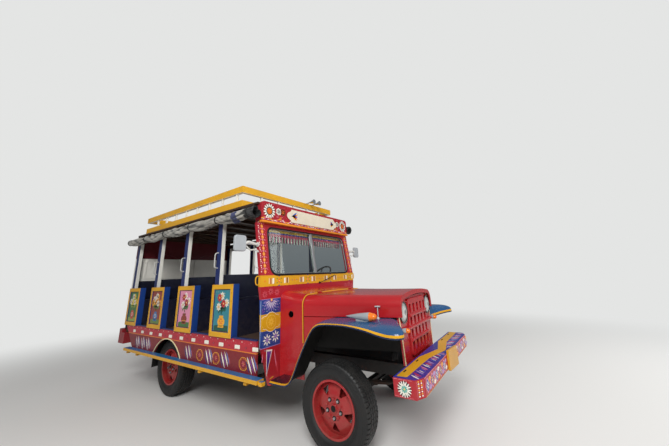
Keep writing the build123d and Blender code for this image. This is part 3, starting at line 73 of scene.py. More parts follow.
forward = Vector((math.cos(YAW) * math.cos(PITCH), math.sin(YAW) * math.cos(PITCH), math.sin(PITCH)))
level_right = forward.cross(Vector((0, 0, 1))).normalized()
level_up = level_right.cross(forward)
right = math.cos(ROLL) * level_right + math.sin(ROLL) * level_up
up = math.cos(ROLL) * level_up - math.sin(ROLL) * level_right
lens = bpy.data.cameras.new("view")
lens.sensor_width = SENSOR_MM
lens.lens = SENSOR_MM * FOCAL_PX / IMAGE_W
lens.shift_y = (OPTICAL_CENTRE_Y_PX - IMAGE_H / 2) / IMAGE_W
lens.clip_end = 200.0
camera = bpy.data.objects.new("view", lens)
camera.matrix_world = Matrix.Translation(EYE) @ Matrix((right, up, -forward)).transposed().to_4x4()
bpy.context.scene.collection.objects.link(camera)
bpy.context.scene.camera = camera
bpy.context.scene.view_settings.view_transform = "Standard"

# The studio: a pale matt floor that melts into the backdrop a few metres away from the bus, a soft white sky
# that is brighter overhead, and two large soft boxes, one high on the camera's side and one ahead of the bus.
FLOOR_HALF = 60.0
FLOOR_NEAR = 3.6
FLOOR_FAR = 9.0
SKY_ZENITH = "#FFFFFF"
SKY_LEVEL = "#AEB6BE"
BACKDROP = "#E4E5E4"


def linear(code):
    """Turns an sRGB hex colour into linear light, by the sRGB curve."""
    part = np.array([int(code[i:i + 2], 16) for i in (1, 3, 5)]) / 255
    light = np.where(part <= 0.04045, part / 12.92, ((part + 0.055) / 1.055) ** 2.4)
    return (*light.tolist(), 1.0)


def fill(tree, node, inputs):
    """Fills a node's sockets with values or with outputs; a node given alone stands for its first output."""
    for key, value in inputs.items():
        if isinstance(value, bpy.types.Node):
            value = value.outputs[0]
        if isinstance(value, bpy.types.NodeSocket):
            tree.links.new(value, node.inputs[key])
        else:
            node.inputs[key].default_value = value


def add(tree, kind, inputs=None, stops=(), **settings):
    """Adds one shader node with its settings and links. stops are a colour ramp's places and hex colours."""
    made = tree.nodes.new("ShaderNode" + kind)
    for name, value in settings.items():
        setattr(made, name, value)
    for _ in stops[2:]:
        made.color_ramp.elements.new(1.0)
    for element, (start, code) in zip(made.color_ramp.elements if stops else (), stops):
        element.position = start
        element.color = linear(code)
    fill(tree, made, inputs or {})
    return made


world = bpy.data.worlds.new("studio")
bpy.context.scene.world = world
world.use_nodes = True
tree = world.node_tree
tree.nodes.clear()
seen = add(tree, "LightPath").outputs["Is Camera Ray"]
height = add(tree, "SeparateXYZ", {0: add(tree, "TexCoord").outputs["Generated"]})
sky = add(tree, "ValToRGB", {0: height.outputs["Z"]}, stops=[(0.0, SKY_LEVEL), (0.7, SKY_ZENITH)])
lit = add(tree, "Background", {"Color": sky, "Strength": 0.38})
shown = add(tree, "Background", {"Color": linear(BACKDROP), "Strength": 1.0})
mixed = add(tree, "MixShader", {0: seen, 1: lit, 2: shown})
add(tree, "OutputWorld", {"Surface": mixed})


def fresh_material(name, values):
    """A new material whose main shader has these values, with its node tree and that shader."""
    made = bpy.data.materials.new(name)
    made.use_nodes = True
    shader = made.node_tree.nodes["Principled BSDF"]
    fill(made.node_tree, shader, values)
    return made, made.node_tree, shader


floor_mesh = bpy.data.meshes.new("floor")
corner = np.array([(-1, -1), (1, -1), (1, 1), (-1, 1)]) * FLOOR_HALF
floor_mesh.from_pydata([(x, y, 0.0) for x, y in corner], [], [(0, 1, 2, 3)])
floor = bpy.data.objects.new("floor", floor_mesh)
bpy.context.scene.collection.objects.link(floor)
floor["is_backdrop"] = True
floor_paint, tree, shader = fresh_material("pale studio floor", {
    "Base Color": linear("#E4E3E0"), "Roughness": 0.85, "Specular IOR Level": 0.2})
away = add(tree, "VectorMath", {0: add(tree, "TexCoord").outputs["Object"]}, operation="LENGTH")
melt = add(tree, "MapRange", {0: away.outputs["Value"], 1: FLOOR_NEAR, 2: FLOOR_FAR, 3: 0.0, 4: 1.0},
           interpolation_type="SMOOTHSTEP")
seen = add(tree, "Math", {0: melt, 1: add(tree, "LightPath").outputs["Is Camera Ray"]}, operation="MULTIPLY")
haze = add(tree, "Emission", {"Color": linear(BACKDROP), "Strength": 1.0})
blended = add(tree, "MixShader", {0: seen, 1: shader, 2: haze})
fill(tree, tree.nodes["Material Output"], {"Surface": blended})
floor_mesh.materials.append(floor_paint)

# soft box: place, what it faces, side length in metres, power in watts
SOFT_BOXES = [("key", (4.6, -5.8, 5.6), (0.6, 0.0, 1.0), 3.4, 535.0),
              ("fill", (7.0, 3.4, 3.6), (1.2, 0.0, 1.0), 3.6, 190.0)]
for name, place, target, side, watts in SOFT_BOXES:
    lamp = bpy.data.lights.new(name, "AREA")
    lamp.shape = "SQUARE"
    lamp.size = side
    lamp.energy = watts
    box = bpy.data.objects.new(name, lamp)
    box.location = place
    box.rotation_euler = (Vector(target) - Vector(place)).to_track_quat("-Z", "Y").to_euler()
    # the fill box is kept out of mirror reflections, where it would lie as a white sheet over the windshield
    box.visible_glossy = name == "key"
    bpy.context.scene.collection.objects.link(box)

# Enamel: nearly everything on the bus is brushed or sprayed with glossy oil enamel over steel or boards.
# It keeps a clear shine, is uneven in colour, dulls with road dust low down, and its corners are soft.
DUST = "#7D6E5C"
BODY_RED = "#AE1820"


def enamel(name, colour, gloss=0.32, coat=0.12, dust=0.3, dust_top=0.95, grain=(1, 1, 1), edge=0.003):
    """Oil enamel. colour is a hex value, or a function that builds a pattern and gives its socket.
    grain stretches the brush marks along the boards; dust fades out at dust_top metres above the ground."""
    made, tree, shader = fresh_material(name, {"Coat Roughness": 0.07, "Specular IOR Level": 0.32})
    place = add(tree, "TexCoord").outputs["Object"]
    if callable(colour):
        pigment = colour(tree, place)
    else:
        pigment = linear(colour)
    cloud = add(tree, "TexNoise", {"Vector": place, "Scale": 2.3, "Detail": 4.0, "Roughness": 0.6})
    tone = add(tree, "MapRange", {0: cloud, 1: 0.3, 2: 0.7, 3: 0.9, 4: 1.08})
    toned = add(tree, "Mix", {0: 1.0, 6: pigment, 7: tone}, data_type="RGBA", blend_type="MULTIPLY")
    speck = add(tree, "TexNoise", {"Vector": place, "Scale": 21.0, "Detail": 6.0, "Roughness": 0.7})
    height = add(tree, "SeparateXYZ", {0: place}).outputs["Z"]
    low = add(tree, "MapRange", {0: height, 1: 0.25, 2: dust_top, 3: dust, 4: 0.03})
    dirt = add(tree, "MapRange", {0: speck, 1: 0.35, 2: 0.75, 3: 0.15, 4: 1.1})
    grime = add(tree, "Math", {0: low, 1: dirt}, operation="MULTIPLY", use_clamp=True)
    soiled = add(tree, "Mix", {0: grime, 6: toned.outputs[2], 7: linear(DUST)}, data_type="RGBA")
    dull = add(tree, "MapRange", {0: grime, 1: 0.0, 2: 0.6, 3: gloss, 4: 0.75})
    shine = add(tree, "MapRange", {0: grime, 1: 0.0, 2: 0.4, 3: coat, 4: 0.05})
    stretched = add(tree, "Mapping", {"Vector": place, "Scale": grain})
    peel = add(tree, "TexNoise", {"Vector": stretched, "Scale": 95.0, "Detail": 3.0})
    wave = add(tree, "TexNoise", {"Vector": stretched, "Scale": 9.0, "Detail": 2.0})
    swell = add(tree, "Math", {0: wave, 1: 3.0, 2: peel}, operation="MULTIPLY_ADD")
    soft = add(tree, "Bevel", {"Radius": edge}, samples=4)
    uneven = add(tree, "Bump", {"Strength": 0.35, "Distance": 0.0006, "Height": swell, "Normal": soft})
    fill(tree, shader, {"Base Color": soiled.outputs[2], "Roughness": dull, "Coat Weight": shine,
                        "Normal": uneven, "Coat Normal": uneven})
    return made


def dress(material, *names):
    """Gives CAD nodes a finish."""
    for name in names:
        cad[name].data.materials.clear()
        cad[name].data.materials.append(material)


red = enamel("crimson oil enamel on steel", BODY_RED, gloss=0.24, coat=0.45, dust=0.12)
dress(red, "bonnet", "cowl", "grille_shell", "dashboard")


# Chassis, axles, springs, tank and exhaust: forged and pressed steel in old black chassis paint, matt with
# baked road dust, rust showing through on the exhaust and the spring leaves.
def underside(name, colour, metal, rust, rust_colour="#5B3420", dust="#4A4239"):
    """Black chassis paint or bare steel with patches of rust and dust."""
    made, tree, shader = fresh_material(name, {"Metallic": metal})
    place = add(tree, "TexCoord").outputs["Object"]
    patch = add(tree, "TexNoise", {"Vector": place, "Scale": 14.0, "Detail": 8.0, "Roughness": 0.75})
    bare = add(tree, "MapRange", {0: patch, 1: 0.62 - rust * 0.35, 2: 0.75, 3: 0.0, 4: 1.0})
    rusted = add(tree, "Mix", {0: bare, 6: linear(colour), 7: linear(rust_colour)}, data_type="RGBA")
    film = add(tree, "TexNoise", {"Vector": place, "Scale": 5.0, "Detail": 5.0})
    cover = add(tree, "MapRange", {0: film, 1: 0.35, 2: 0.7, 3: 0.03, 4: 0.25})
    dusted = add(tree, "Mix", {0: cover, 6: rusted.outputs[2], 7: linear(dust)}, data_type="RGBA")
    rough = add(tree, "MapRange", {0: patch, 1: 0.3, 2: 0.7, 3: 0.5, 4: 0.85})
    soft = add(tree, "Bevel", {"Radius": 0.003}, samples=4)
    scale = add(tree, "Bump", {"Strength": 0.5, "Distance": 0.0008, "Height": patch, "Normal": soft})
    fill(tree, shader, {"Base Color": dusted.outputs[2], "Roughness": rough, "Normal": scale})
    return made


chassis_black = underside("black chassis paint", "#101013", 0.0, 0.1)
dress(chassis_black, "chassis_frame", "front_axle", "rear_axle", "steering_knuckle_left",
      "steering_knuckle_right", "tie_rod", "fuel_tank")
dress(underside("spring steel", "#2A2826", 0.5, 0.5), "leaf_springs")
dress(underside("exhaust steel", "#4A4542", 0.6, 0.7), "exhaust")
dress(underside("engine grey paint", "#23272A", 0.0, 0.2), "engine_and_radiator")


# Coach woodwork: planed boards and battens in brushed enamel, one colour to a face. Posts, sills, benches,
# running boards, rack, skirts and walls.
def by_height(steps):
    """A paint pattern in level bands: steps lists the height in metres where each colour starts."""
    bottom = steps[0][0]
    span = steps[-1][0] - bottom + 0.5

    def pattern(tree, place):
        height = add(tree, "SeparateXYZ", {0: place}).outputs["Z"]
        share = add(tree, "MapRange", {0: height, 1: bottom, 2: bottom + span, 3: 0.0, 4: 1.0})
        ramp = add(tree, "ValToRGB", {0: share},
                   stops=[((start - bottom) / span, code) for start, code in steps])
        ramp.color_ramp.interpolation = "CONSTANT"
        return ramp.outputs[0]
    return pattern


def by_facing(axis, side_colour, *faces):
    """A paint pattern by which way a board faces: faces lists (sign, colour) along the axis."""
    def pattern(tree, place):
        normal = add(tree, "SeparateXYZ", {0: add(tree, "TexCoord").outputs["Normal"]}).outputs[axis]
        colour = linear(side_colour)
        for sign, code in faces:
            turned = add(tree, "Math", {0: normal, 1: float(sign)}, operation="MULTIPLY")
            mask = add(tree, "Math", {0: turned, 1: 0.7}, operation="GREATER_THAN")
            colour = add(tree, "Mix", {0: mask, 6: colour, 7: linear(code)}, data_type="RGBA").outputs[2]
        return colour
    return pattern


def between(axis, low, high, inside, outside):
    """A paint pattern with one finish between two places along an axis, over another; each is a colour or a
    pattern."""
    def pattern(tree, place):
        ground, strip = [part(tree, place) if callable(part) else linear(part) for part in (outside, inside)]
        along = add(tree, "SeparateXYZ", {0: place}).outputs[axis]
        above = add(tree, "Math", {0: along, 1: low}, operation="GREATER_THAN")
        below = add(tree, "Math", {0: along, 1: high}, operation="LESS_THAN")
        mask = add(tree, "Math", {0: above, 1: below}, operation="MULTIPLY")
        return add(tree, "Mix", {0: mask, 6: ground, 7: strip}, data_type="RGBA").outputs[2]
    return pattern


ALONG = (0.05, 1, 1)
UPRIGHT = (1, 1, 0.05)
ACROSS = (1, 0.05, 1)
GOLDEN_YELLOW = "#D9A01B"
NAVY = "#17265C"
IVORY_WHITE = "#E6E3DA"
BOARD_BLUE = "#2A6FA8"
PANEL_BLUE = "#1B3F86"
dress(enamel("post enamel, navy with white fronts", by_facing("X", NAVY, (1, IVORY_WHITE)), grain=UPRIGHT,
             dust=0.1), "side_posts")
dress(enamel("seat end enamel, golden frames on blue boxes",
             by_facing("Y", PANEL_BLUE, (1, GOLDEN_YELLOW), (-1, GOLDEN_YELLOW)), grain=UPRIGHT, dust=0.1),
      "seat_end_panels")
# The benches are navy paint darkened to blue black: painted shade for the dark inside of the coach.
dress(enamel("bench enamel, blue black as painted shade", "#0B1026", grain=ACROSS, gloss=0.45, coat=0.1, dust=0.25,
             dust_top=1.3), "benches")
dress(enamel("rack enamel, golden rails on white turned spindles",
             by_height([(2.0, GOLDEN_YELLOW), (2.346, IVORY_WHITE), (2.443, GOLDEN_YELLOW)]), grain=ALONG,
             dust=0.1), "roof_rack")
dress(enamel("running board enamel, blue with golden edges on black brackets",
             between("Y", -0.929, 0.929, "#0C0C0E", by_facing("Z", GOLDEN_YELLOW, (1, BOARD_BLUE))),
             grain=ALONG, dust=0.2), "running_boards")
SKIRT_LINE = 0.700
dress(enamel("skirt enamel, two reds and an orange line",
             by_height([(0.0, "#7E1622"), (SKIRT_LINE - 0.004, "#DD7A22"), (SKIRT_LINE + 0.005, "#B22334")]),
             grain=ALONG, dust=0.2), "side_skirts")
WALL_BANDS = [(0.0, "#A91C2A"), (0.74, PANEL_BLUE), (0.89, GOLDEN_YELLOW), (1.05, PANEL_BLUE),
              (1.196, "#A81A28"), (1.318, GOLDEN_YELLOW), (1.438, "#A31826")]
dress(enamel("front wall enamel in painted bands, with a silver bar between the panes",
             between("Y", -0.0175, 0.0175, by_height(WALL_BANDS + [(1.447, "#85888B"), (1.985, "#A31826")]),
                     by_height(WALL_BANDS)), grain=ACROSS, dust=0.15), "front_wall")
dress(enamel("header enamel, red over an orange drip ledge",
             between("Z", 1.9, 2.0495, "#E08A1E",
                     between("X", MID_TO_FRONT_AXLE - 0.8065, 3.0, "#DCD2BC", "#9E1624")),
             grain=ACROSS, dust=0.05), "header_board")
dress(enamel("bumper enamel, red with a violet top and a golden plate",
             between("X", MID_TO_FRONT_AXLE + 0.8025, 3.0, "#CC9212",
                     by_facing("Z", "#A81C29", (1, "#2C2F8E"))),
             dust=0.12), "front_bumper")
dress(enamel("rear bumper enamel", "#8E1D29", dust=0.3), "rear_bumper")
dress(enamel("rear wall enamel, white and dark red inside, crimson outside",
             between("X", -3.0, MID_TO_FRONT_AXLE - 4.073, "#A51A28",
                     by_height([(0.0, "#0C0C0E"), (0.80, IVORY_WHITE), (1.86, "#5E1820")])),
             grain=UPRIGHT, dust=0.1), "rear_wall")
dress(enamel("white ladder enamel", IVORY_WHITE, grain=UPRIGHT, dust=0.15), "rear_ladder")
dress(enamel("silver mirror shells", "#A4A8AB", gloss=0.25, coat=0.5, dust=0.05), "mirrors")
dress(enamel("brown deck paint, walked dull", "#3E2B22", grain=ALONG, dust=0.4, dust_top=1.4, coat=0.05,
             gloss=0.6), "floor_deck")
dress(enamel("varnished roof boards", by_facing("Z", "#3B2518", (1, "#8A8478")), grain=ALONG, dust=0.1,
             coat=0.15, gloss=0.4), "roof_frame", "roof_panel")
dress(enamel("black steering wheel rim", "#0E0E10", dust=0.1), "steering_wheel")

# Chrome: the plated pressings of the air horns, bright with a few cloudy patches. The valance's rod, drawn
# further down, has it too.
chrome, tree, shader = fresh_material("chrome plate", {"Base Color": linear("#D8DADB"), "Metallic": 1.0})
place = add(tree, "TexCoord").outputs["Object"]
cloud = add(tree, "TexNoise", {"Vector": place, "Scale": 30.0, "Detail": 5.0})
rough = add(tree, "MapRange", {0: cloud, 1: 0.3, 2: 0.7, 3: 0.06, 4: 0.22})
fill(tree, shader, {"Roughness": rough})
dress(chrome, "air_horns")

# Side lamps on the wings and turn signals beside the radiator: cast shells in silver enamel with amber
# plastic front ends, bolted through the sheet.
AMBER = "#E87510"
AMBER_FROM_M = MID_TO_FRONT_AXLE + 0.362
SIGNAL_AMBER_M = MID_TO_FRONT_AXLE + 0.576
LAMP_SILVER = "#9A9FA3"
dress(enamel("silver lamp shells with amber ends",
             between("X", SIGNAL_AMBER_M - 0.1, SIGNAL_AMBER_M, LAMP_SILVER,
                     between("X", AMBER_FROM_M, 3.0, AMBER, LAMP_SILVER)),
             gloss=0.2, coat=0.8, dust=0.05, edge=0.001), "wing_lamps")

# Glass: the windshield's two flat panes, held in a rubber gasket, and the headlamps' pressed lenses,
# clear glass with upright ribs, clamped to their pots by rims.
glass, tree, shader = fresh_material("windshield glass", {
    "Base Color": linear("#DCE3E0"), "Transmission Weight": 1.0, "IOR": 1.45, "Roughness": 0.01,
    "Specular IOR Level": 0.12})
# a pane lets the lamps' light through to the valance behind it, which a refracting shader alone would stop
clear = add(tree, "BsdfTransparent", {"Color": linear("#CBD2CF")})
passing = add(tree, "MixShader", {0: add(tree, "LightPath").outputs["Is Shadow Ray"], 1: shader, 2: clear})
fill(tree, tree.nodes["Material Output"], {"Surface": passing})
dress(glass, "windshield_glass")

LENS_CENTRE = (0.352, 1.043)
LENS_R = 0.089
LENS_RIB = 0.012


def lens_painted_light_rings(tree, place):
    """Lamp glass by distance from the lamp's middle: the bulb's grey, a bright ring that is a painted
    reflection of the bowl, and a dark rim that is painted shadow in the lamp's recess, with upright ribs a
    rib width apart, each drawn with painted light and shade across it. Behind the lens's front the pot is
    black."""
    way = add(tree, "SeparateXYZ", {0: place})
    across = add(tree, "Math", {0: way.outputs["Y"]}, operation="ABSOLUTE")
    off = add(tree, "Math", {0: across, 1: LENS_CENTRE[0]}, operation="SUBTRACT")
    rise = add(tree, "Math", {0: way.outputs["Z"], 1: LENS_CENTRE[1]}, operation="SUBTRACT")
    flat = add(tree, "CombineXYZ", {0: off, 1: rise})
    reach = add(tree, "VectorMath", {0: flat}, operation="LENGTH").outputs["Value"]
    share = add(tree, "MapRange", {0: reach, 1: 0.0, 2: LENS_R, 3: 0.0, 4: 1.0})
    ramp = add(tree, "ValToRGB", {0: share},
               stops=[(0.0, "#77797A"), (0.22, "#8E9290"), (0.34, "#D4D6D1"), (0.80, "#A5AAA6"),
                      (0.87, "#B9BCB8"), (0.90, "#1C1C1E")])
    rib = add(tree, "Math", {0: way.outputs["Y"], 1: LENS_RIB}, operation="PINGPONG")
    shade = add(tree, "MapRange", {0: rib, 1: 0.0, 2: LENS_RIB, 3: 0.80, 4: 1.04})
    ribbed = add(tree, "Mix", {0: 1.0, 6: ramp, 7: shade}, data_type="RGBA", blend_type="MULTIPLY")
    ahead = add(tree, "Math", {0: way.outputs["X"], 1: MID_TO_FRONT_AXLE + 0.532}, operation="GREATER_THAN")
    return add(tree, "Mix", {0: ahead, 6: linear("#141416"), 7: ribbed.outputs[2]},
               data_type="RGBA").outputs[2]


dress(enamel("lamp glass with painted reflection and shadow", lens_painted_light_rings, gloss=0.06, coat=0.9, dust=0.04, edge=0.001), "headlamps")


# The front wings: pressed steel sprayed steel blue, with a golden line along the turned lip and black inside.
# Each runs from the radiator's side round a bulging nose, back over the wheel, and down a leg to the step.
# columns: lip x, y, z; x where the wing meets the body; way the flange stands on the lip, in x and z; its
# depth; squareness of the shoulder
WING = np.array([
    (0.524, 0.452, 0.885, 0.494, 0.0, 1.0, 0.101, 2.8),
    (0.592, 0.600, 0.903, 0.455, 0.0, 1.0, 0.102, 3.0),
    (0.645, 0.700, 0.911, 0.420, 0.0, 1.0, 0.095, 3.2),
    (0.694, 0.765, 0.915, 0.390, 0.0, 1.0, 0.091, 3.4),
    (0.688, 0.822, 0.915, 0.370, 0.0, 1.0, 0.091, 3.4),
    (0.630, 0.845, 0.914, 0.350, 0.0, 1.0, 0.092, 3.4),
    (0.556, 0.845, 0.918, 0.320, 0.0, 1.0, 0.088, 3.3),
    (0.470, 0.845, 0.935, 0.290, 0.0, 1.0, 0.071, 3.0),
    (0.385, 0.845, 0.957, 0.260, 0.0, 1.0, 0.049, 2.6),
    (0.208, 0.845, 0.983, 0.180, 0.0, 1.0, 0.024, 2.8),
    (0.100, 0.845, 0.984, 0.090, 0.0, 1.0, 0.023, 2.8),
    (-0.017, 0.845, 0.982, -0.030, 0.0, 1.0, 0.025, 2.8),
    (-0.108, 0.845, 0.967, -0.128, -0.50, 0.866, 0.040, 3.0),
    (-0.172, 0.845, 0.914, -0.206, -0.85, 0.527, 0.040, 3.4),
    (-0.298, 0.845, 0.708, -0.328, -0.869, 0.495, 0.034, 4.0),
    (-0.397, 0.845, 0.515, -0.424, -0.80, 0.60, 0.034, 4.0),
    (-0.450, 0.845, 0.452, -0.466, -0.50, 0.866, 0.031, 4.0),
    (-0.520, 0.845, 0.437, -0.520, 0.0, 1.0, 0.025, 4.0),
    (-0.647, 0.845, 0.437, -0.647, 0.0, 1.0, 0.025, 4.0),
    (-0.700, 0.845, 0.437, -0.700, 0.0, 1.0, 0.025, 4.0)])
WING_SKIN = 0.006
WING_CROWN = 0.004
LIP_PAINT = 0.012
GOLD_LINE = 0.019
SIDE_REAR = (-0.450, 0.612)
SIDE_FRONT = (0.505, 0.446)
STEEL_BLUE = "#24507C"


def build(name, points, faces, material, slot, body="coach", smooth=0.7, uv=None, paint=None,
          inside=None):
    """Makes one piece from points in metres from the front axle and from faces, which are rows of point
    numbers. It is merged, its faces are turned outwards, and it rides on a body. uv and paint give a pair
    or a colour for each point; smooth is the angle in radians under which an edge is shaded round; inside
    is a second material, for the faces that are given its number."""
    mesh = bpy.data.meshes.new(name)
    placed = np.asarray(points, float).reshape(-1, 3) + (MID_TO_FRONT_AXLE, 0.0, 0.0)
    rows = [row.tolist() if isinstance(row, np.ndarray) else row for row in faces]
    mesh.from_pydata(placed.tolist(), [], rows)
    corners = np.empty(len(mesh.loops), dtype=np.int32)
    mesh.loops.foreach_get("vertex_index", corners)
    if uv is not None:
        layer = mesh.uv_layers.new(name="UVMap")
        layer.uv.foreach_set("vector", np.asarray(uv, np.float32).reshape(-1, 2)[corners].ravel())
    if paint is not None:
        colours = mesh.color_attributes.new("Paint", "FLOAT_COLOR", "CORNER")
        colours.data.foreach_set("color", np.asarray(paint, np.float32).reshape(-1, 4)[corners].ravel())
    work = bmesh.new()
    work.from_mesh(mesh)
    bmesh.ops.remove_doubles(work, verts=work.verts, dist=1e-6)
    bmesh.ops.recalc_face_normals(work, faces=work.faces)
    work.to_mesh(mesh)
    work.free()
    mesh.polygons.foreach_set("use_smooth", np.ones(len(mesh.polygons), dtype=bool))
    mesh.set_sharp_from_angle(angle=smooth)
    mesh.materials.append(material)
    if inside is not None:
        mesh.materials.append(inside)
    piece = bpy.data.objects.new(name, mesh)
    bpy.context.scene.collection.objects.link(piece)
    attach(piece, body)
    return piece


def net(rows, columns, wrap_rows=False, wrap_columns=False, caps=False):
    """Faces over a grid of points: each joins a point to its neighbours on the next row and column. A wrapped
    way joins its last line to its first. caps closes the first and last rows with one face each."""
    r, c = np.meshgrid(np.arange(rows if wrap_rows else rows - 1),
                       np.arange(columns if wrap_columns else columns - 1), indexing="ij")
    r2 = (r + 1) % rows
    c2 = (c + 1) % columns
    quads = np.stack([r * columns + c, r2 * columns + c, r2 * columns + c2, r * columns + c2], axis=-1)
    faces = quads.reshape(-1, 4).tolist()
    if caps:
        faces.append(np.arange(columns)[::-1].tolist())
        faces.append((np.arange(columns) + (rows - 1) * columns).tolist())
    return faces


def soften(points, rounds=3, closed=False):
    """Rounds off a line of points: each round puts two points on every stretch, at a quarter and three
    quarters of its length, and keeps the two ends of an open line."""
    points = np.asarray(points, float)
    for _ in range(rounds):
        following = np.roll(points, -1, axis=0) if closed else points[1:]
        before = points if closed else points[:-1]
        cut = np.stack([before * 0.75 + following * 0.25, before * 0.25 + following * 0.75], axis=1)
        cut = cut.reshape(-1, points.shape[1])
        points = cut if closed else np.vstack([points[:1], cut[1:-1], points[-1:]])
    return points


def mirror(points):
    """The same points on the other side of the bus."""
    return np.asarray(points, float) * (1.0, -1.0, 1.0)


def gather(*parts):
    """Joins pieces of points and faces into one list of each, so that like pieces are one mesh."""
    points = []
    faces = []
    start = 0
    for part_points, part_faces in parts:
        flat = np.asarray(part_points, float).reshape(-1, 3)
        points.append(flat)
        faces += [[corner + start for corner in face] for face in part_faces]
        start += len(flat)
    return np.vstack(points), faces


def both_sides(*parts):
    """The same pieces on both sides of the bus, as one list of points and one of faces."""
    points, faces = gather(*parts)
    return gather((points, faces), (mirror(points), faces))


def body_side(x):
    """Half the width of the engine's side panels, which draw in to the front in a straight line; behind the
    rear of the bonnet it keeps the cowl's width."""
    slope = (SIDE_FRONT[1] - SIDE_REAR[1]) / (SIDE_FRONT[0] - SIDE_REAR[0])
    return SIDE_REAR[1] + slope * (np.maximum(x, SIDE_REAR[0] - 0.15) - SIDE_REAR[0])


def wing_sheet(count=30):
    """The wing's outer face and the distance of each point from the lip. A section starts on the body, runs
    level to the shoulder and turns down the flange to the lip; the corner is a quarter of a superellipse,
    whose power is the squareness, and the level part swells by half a sine."""
    line = soften(WING, 3)
    lip = line[:, None, 0:3]
    rise = np.stack([line[:, 4], np.zeros(len(line)), line[:, 5]], axis=1)
    rise /= np.linalg.norm(rise, axis=1, keepdims=True)
    shoulder = lip + (rise * line[:, 6:7])[:, None]
    root = np.stack([line[:, 3], body_side(line[:, 3]), shoulder[:, 0, 2]], axis=1)[:, None]
    turn = np.linspace(0.0, 1.0, count)[None, :, None] * math.pi / 2
    power = 2.0 / line[:, 7][:, None, None]
    level = np.sin(turn) ** power
    upright = np.cos(turn) ** power
    face = root + (shoulder - root) * level + (lip - shoulder) * (1 - upright)
    face = face + rise[:, None] * WING_CROWN * np.sin(math.pi * level)
    step = np.linalg.norm(np.diff(face, axis=1), axis=2)
    from_lip = np.concatenate([np.cumsum(step[:, ::-1], axis=1)[:, ::-1], np.zeros((len(face), 1))], axis=1)
    return face, from_lip


def back_of(face, thickness, upward=(0.0, 0.0, 1.0)):
    """The other side of a sheet: each point moved square to the sheet, away from `upward`."""
    along = np.gradient(face, axis=0)
    across = np.gradient(face, axis=1)
    normal = np.cross(along, across)
    normal /= np.maximum(np.linalg.norm(normal, axis=2, keepdims=True), 1e-9)
    middle = normal[len(face) // 2, len(face[0]) // 3]
    turned = 1.0 if middle @ np.asarray(upward) > 0 else -1.0
    return face - normal * turned * thickness


def lip_stripe(tree, place):
    """A dark line on the lip, a golden line above it, and steel blue for the rest, near black on the step."""
    from_lip = add(tree, "SeparateXYZ", {0: add(tree, "UVMap", uv_map="UVMap")}).outputs["X"]
    colour = between("X", 0.0, MID_TO_FRONT_AXLE - 0.42, "#141726", STEEL_BLUE)(tree, place)
    for reach, code in ((LIP_PAINT + GOLD_LINE, GOLDEN_YELLOW), (LIP_PAINT, "#122244")):
        near = add(tree, "Math", {0: from_lip, 1: reach}, operation="LESS_THAN")
        colour = add(tree, "Mix", {0: near, 6: colour, 7: linear(code)}, data_type="RGBA").outputs[2]
    return colour


wing_blue = enamel("steel blue enamel with a gold line", lip_stripe, gloss=0.26, coat=0.35, dust=0.05,
                   edge=0.001)
# The same black also serves as painted shade: the discs in the nut wells and the plates in the bumper's bolt
# slots.
undercoat_and_painted_shade = enamel("black inside the arch", "#060607", gloss=0.7, coat=0.0, dust=0.04, dust_top=1.0)
face, from_lip = wing_sheet()
inner = back_of(face, WING_SKIN)
loop = np.concatenate([face, inner[:, ::-1]], axis=1)
mark = np.concatenate([from_lip, -from_lip[:, ::-1] - 0.001], axis=1)
faces = net(loop.shape[0], loop.shape[1], wrap_columns=True, caps=True)
points, faces = both_sides((loop, faces))
mark = np.concatenate([mark.ravel(), mark.ravel()])
wings = build("front_wing_panels", points, faces, wing_blue, "blue_paint",
              uv=np.stack([mark, mark * 0], axis=1), smooth=0.9, inside=undercoat_and_painted_shade)
wing_uv = np.empty(len(wings.data.loops) * 2, dtype=np.float32)
wings.data.uv_layers["UVMap"].uv.foreach_get("vector", wing_uv)
first_corner = np.empty(len(wings.data.polygons), dtype=np.int32)
wings.data.polygons.foreach_get("loop_start", first_corner)
hidden = wing_uv.reshape(-1, 2)[:, 0][np.stack([first_corner, first_corner + 2])].max(axis=0) < -0.0005
wings.data.polygons.foreach_set("material_index", hidden.astype(np.int32))
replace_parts(wings, "front_wings")

# Inner side panels between the wings and the engine: flat steel, red where they show behind the wing's
# leg and black inside the wheel arch. Their dividing line is the wing's own root.
PANEL_FOOT = 0.735
PANEL_HEAD = 1.006
root_line = face[:, 0]
behind = np.linspace(-0.449, 0.500, 60)
order = np.argsort(root_line[:, 0])
divide = np.interp(behind, root_line[order, 0], root_line[order, 2])
divide = np.where(behind < -0.06, divide, PANEL_HEAD)


def side_panel(x, low, high):
    """An upright panel on the engine's side line, from a low to a high edge, a skin thick."""
    corners = np.stack([low, high, high, low], axis=1)
    width = body_side(x)[:, None] - np.array([0.0, 0.0, 1.0, 1.0]) * WING_SKIN
    grid = np.stack([np.broadcast_to(x[:, None], corners.shape), width, corners], axis=2)
    return grid, net(len(x), 4, wrap_columns=True, caps=True)


foot = np.full(60, PANEL_FOOT)
head = np.full(60, PANEL_HEAD)
arch_panel = side_panel(behind, foot, np.maximum(divide, PANEL_FOOT + 0.001))
engine_panel = side_panel(behind[:26], np.maximum(divide, foot)[:26], head[:26])
for name, panel, paint, slot in (("arch_inner_panels", arch_panel, undercoat_and_painted_shade, "black_paint"),
                                 ("engine_side_panels", engine_panel, red, "red_paint")):
    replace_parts(build(name, *both_sides(panel), paint, slot), "front_wings")


# Tyres: black moulded rubber, 16 inch, with a fine road tread of zigzag ribs and short shoulder slots, and
# ridges round the sidewall. The pattern is moulded in 60 equal lengths round the tyre.
WHEELS = [("front_right", 0.0, -0.700), ("front_left", 0.0, 0.700), ("rear_right", -2.650, -0.745),
          ("rear_left", -2.650, 0.745)]
AXLE_Z = 0.341
PITCHES = 60
GROOVE = 0.007
ZIGZAG = 0.003
SLOT = 0.005
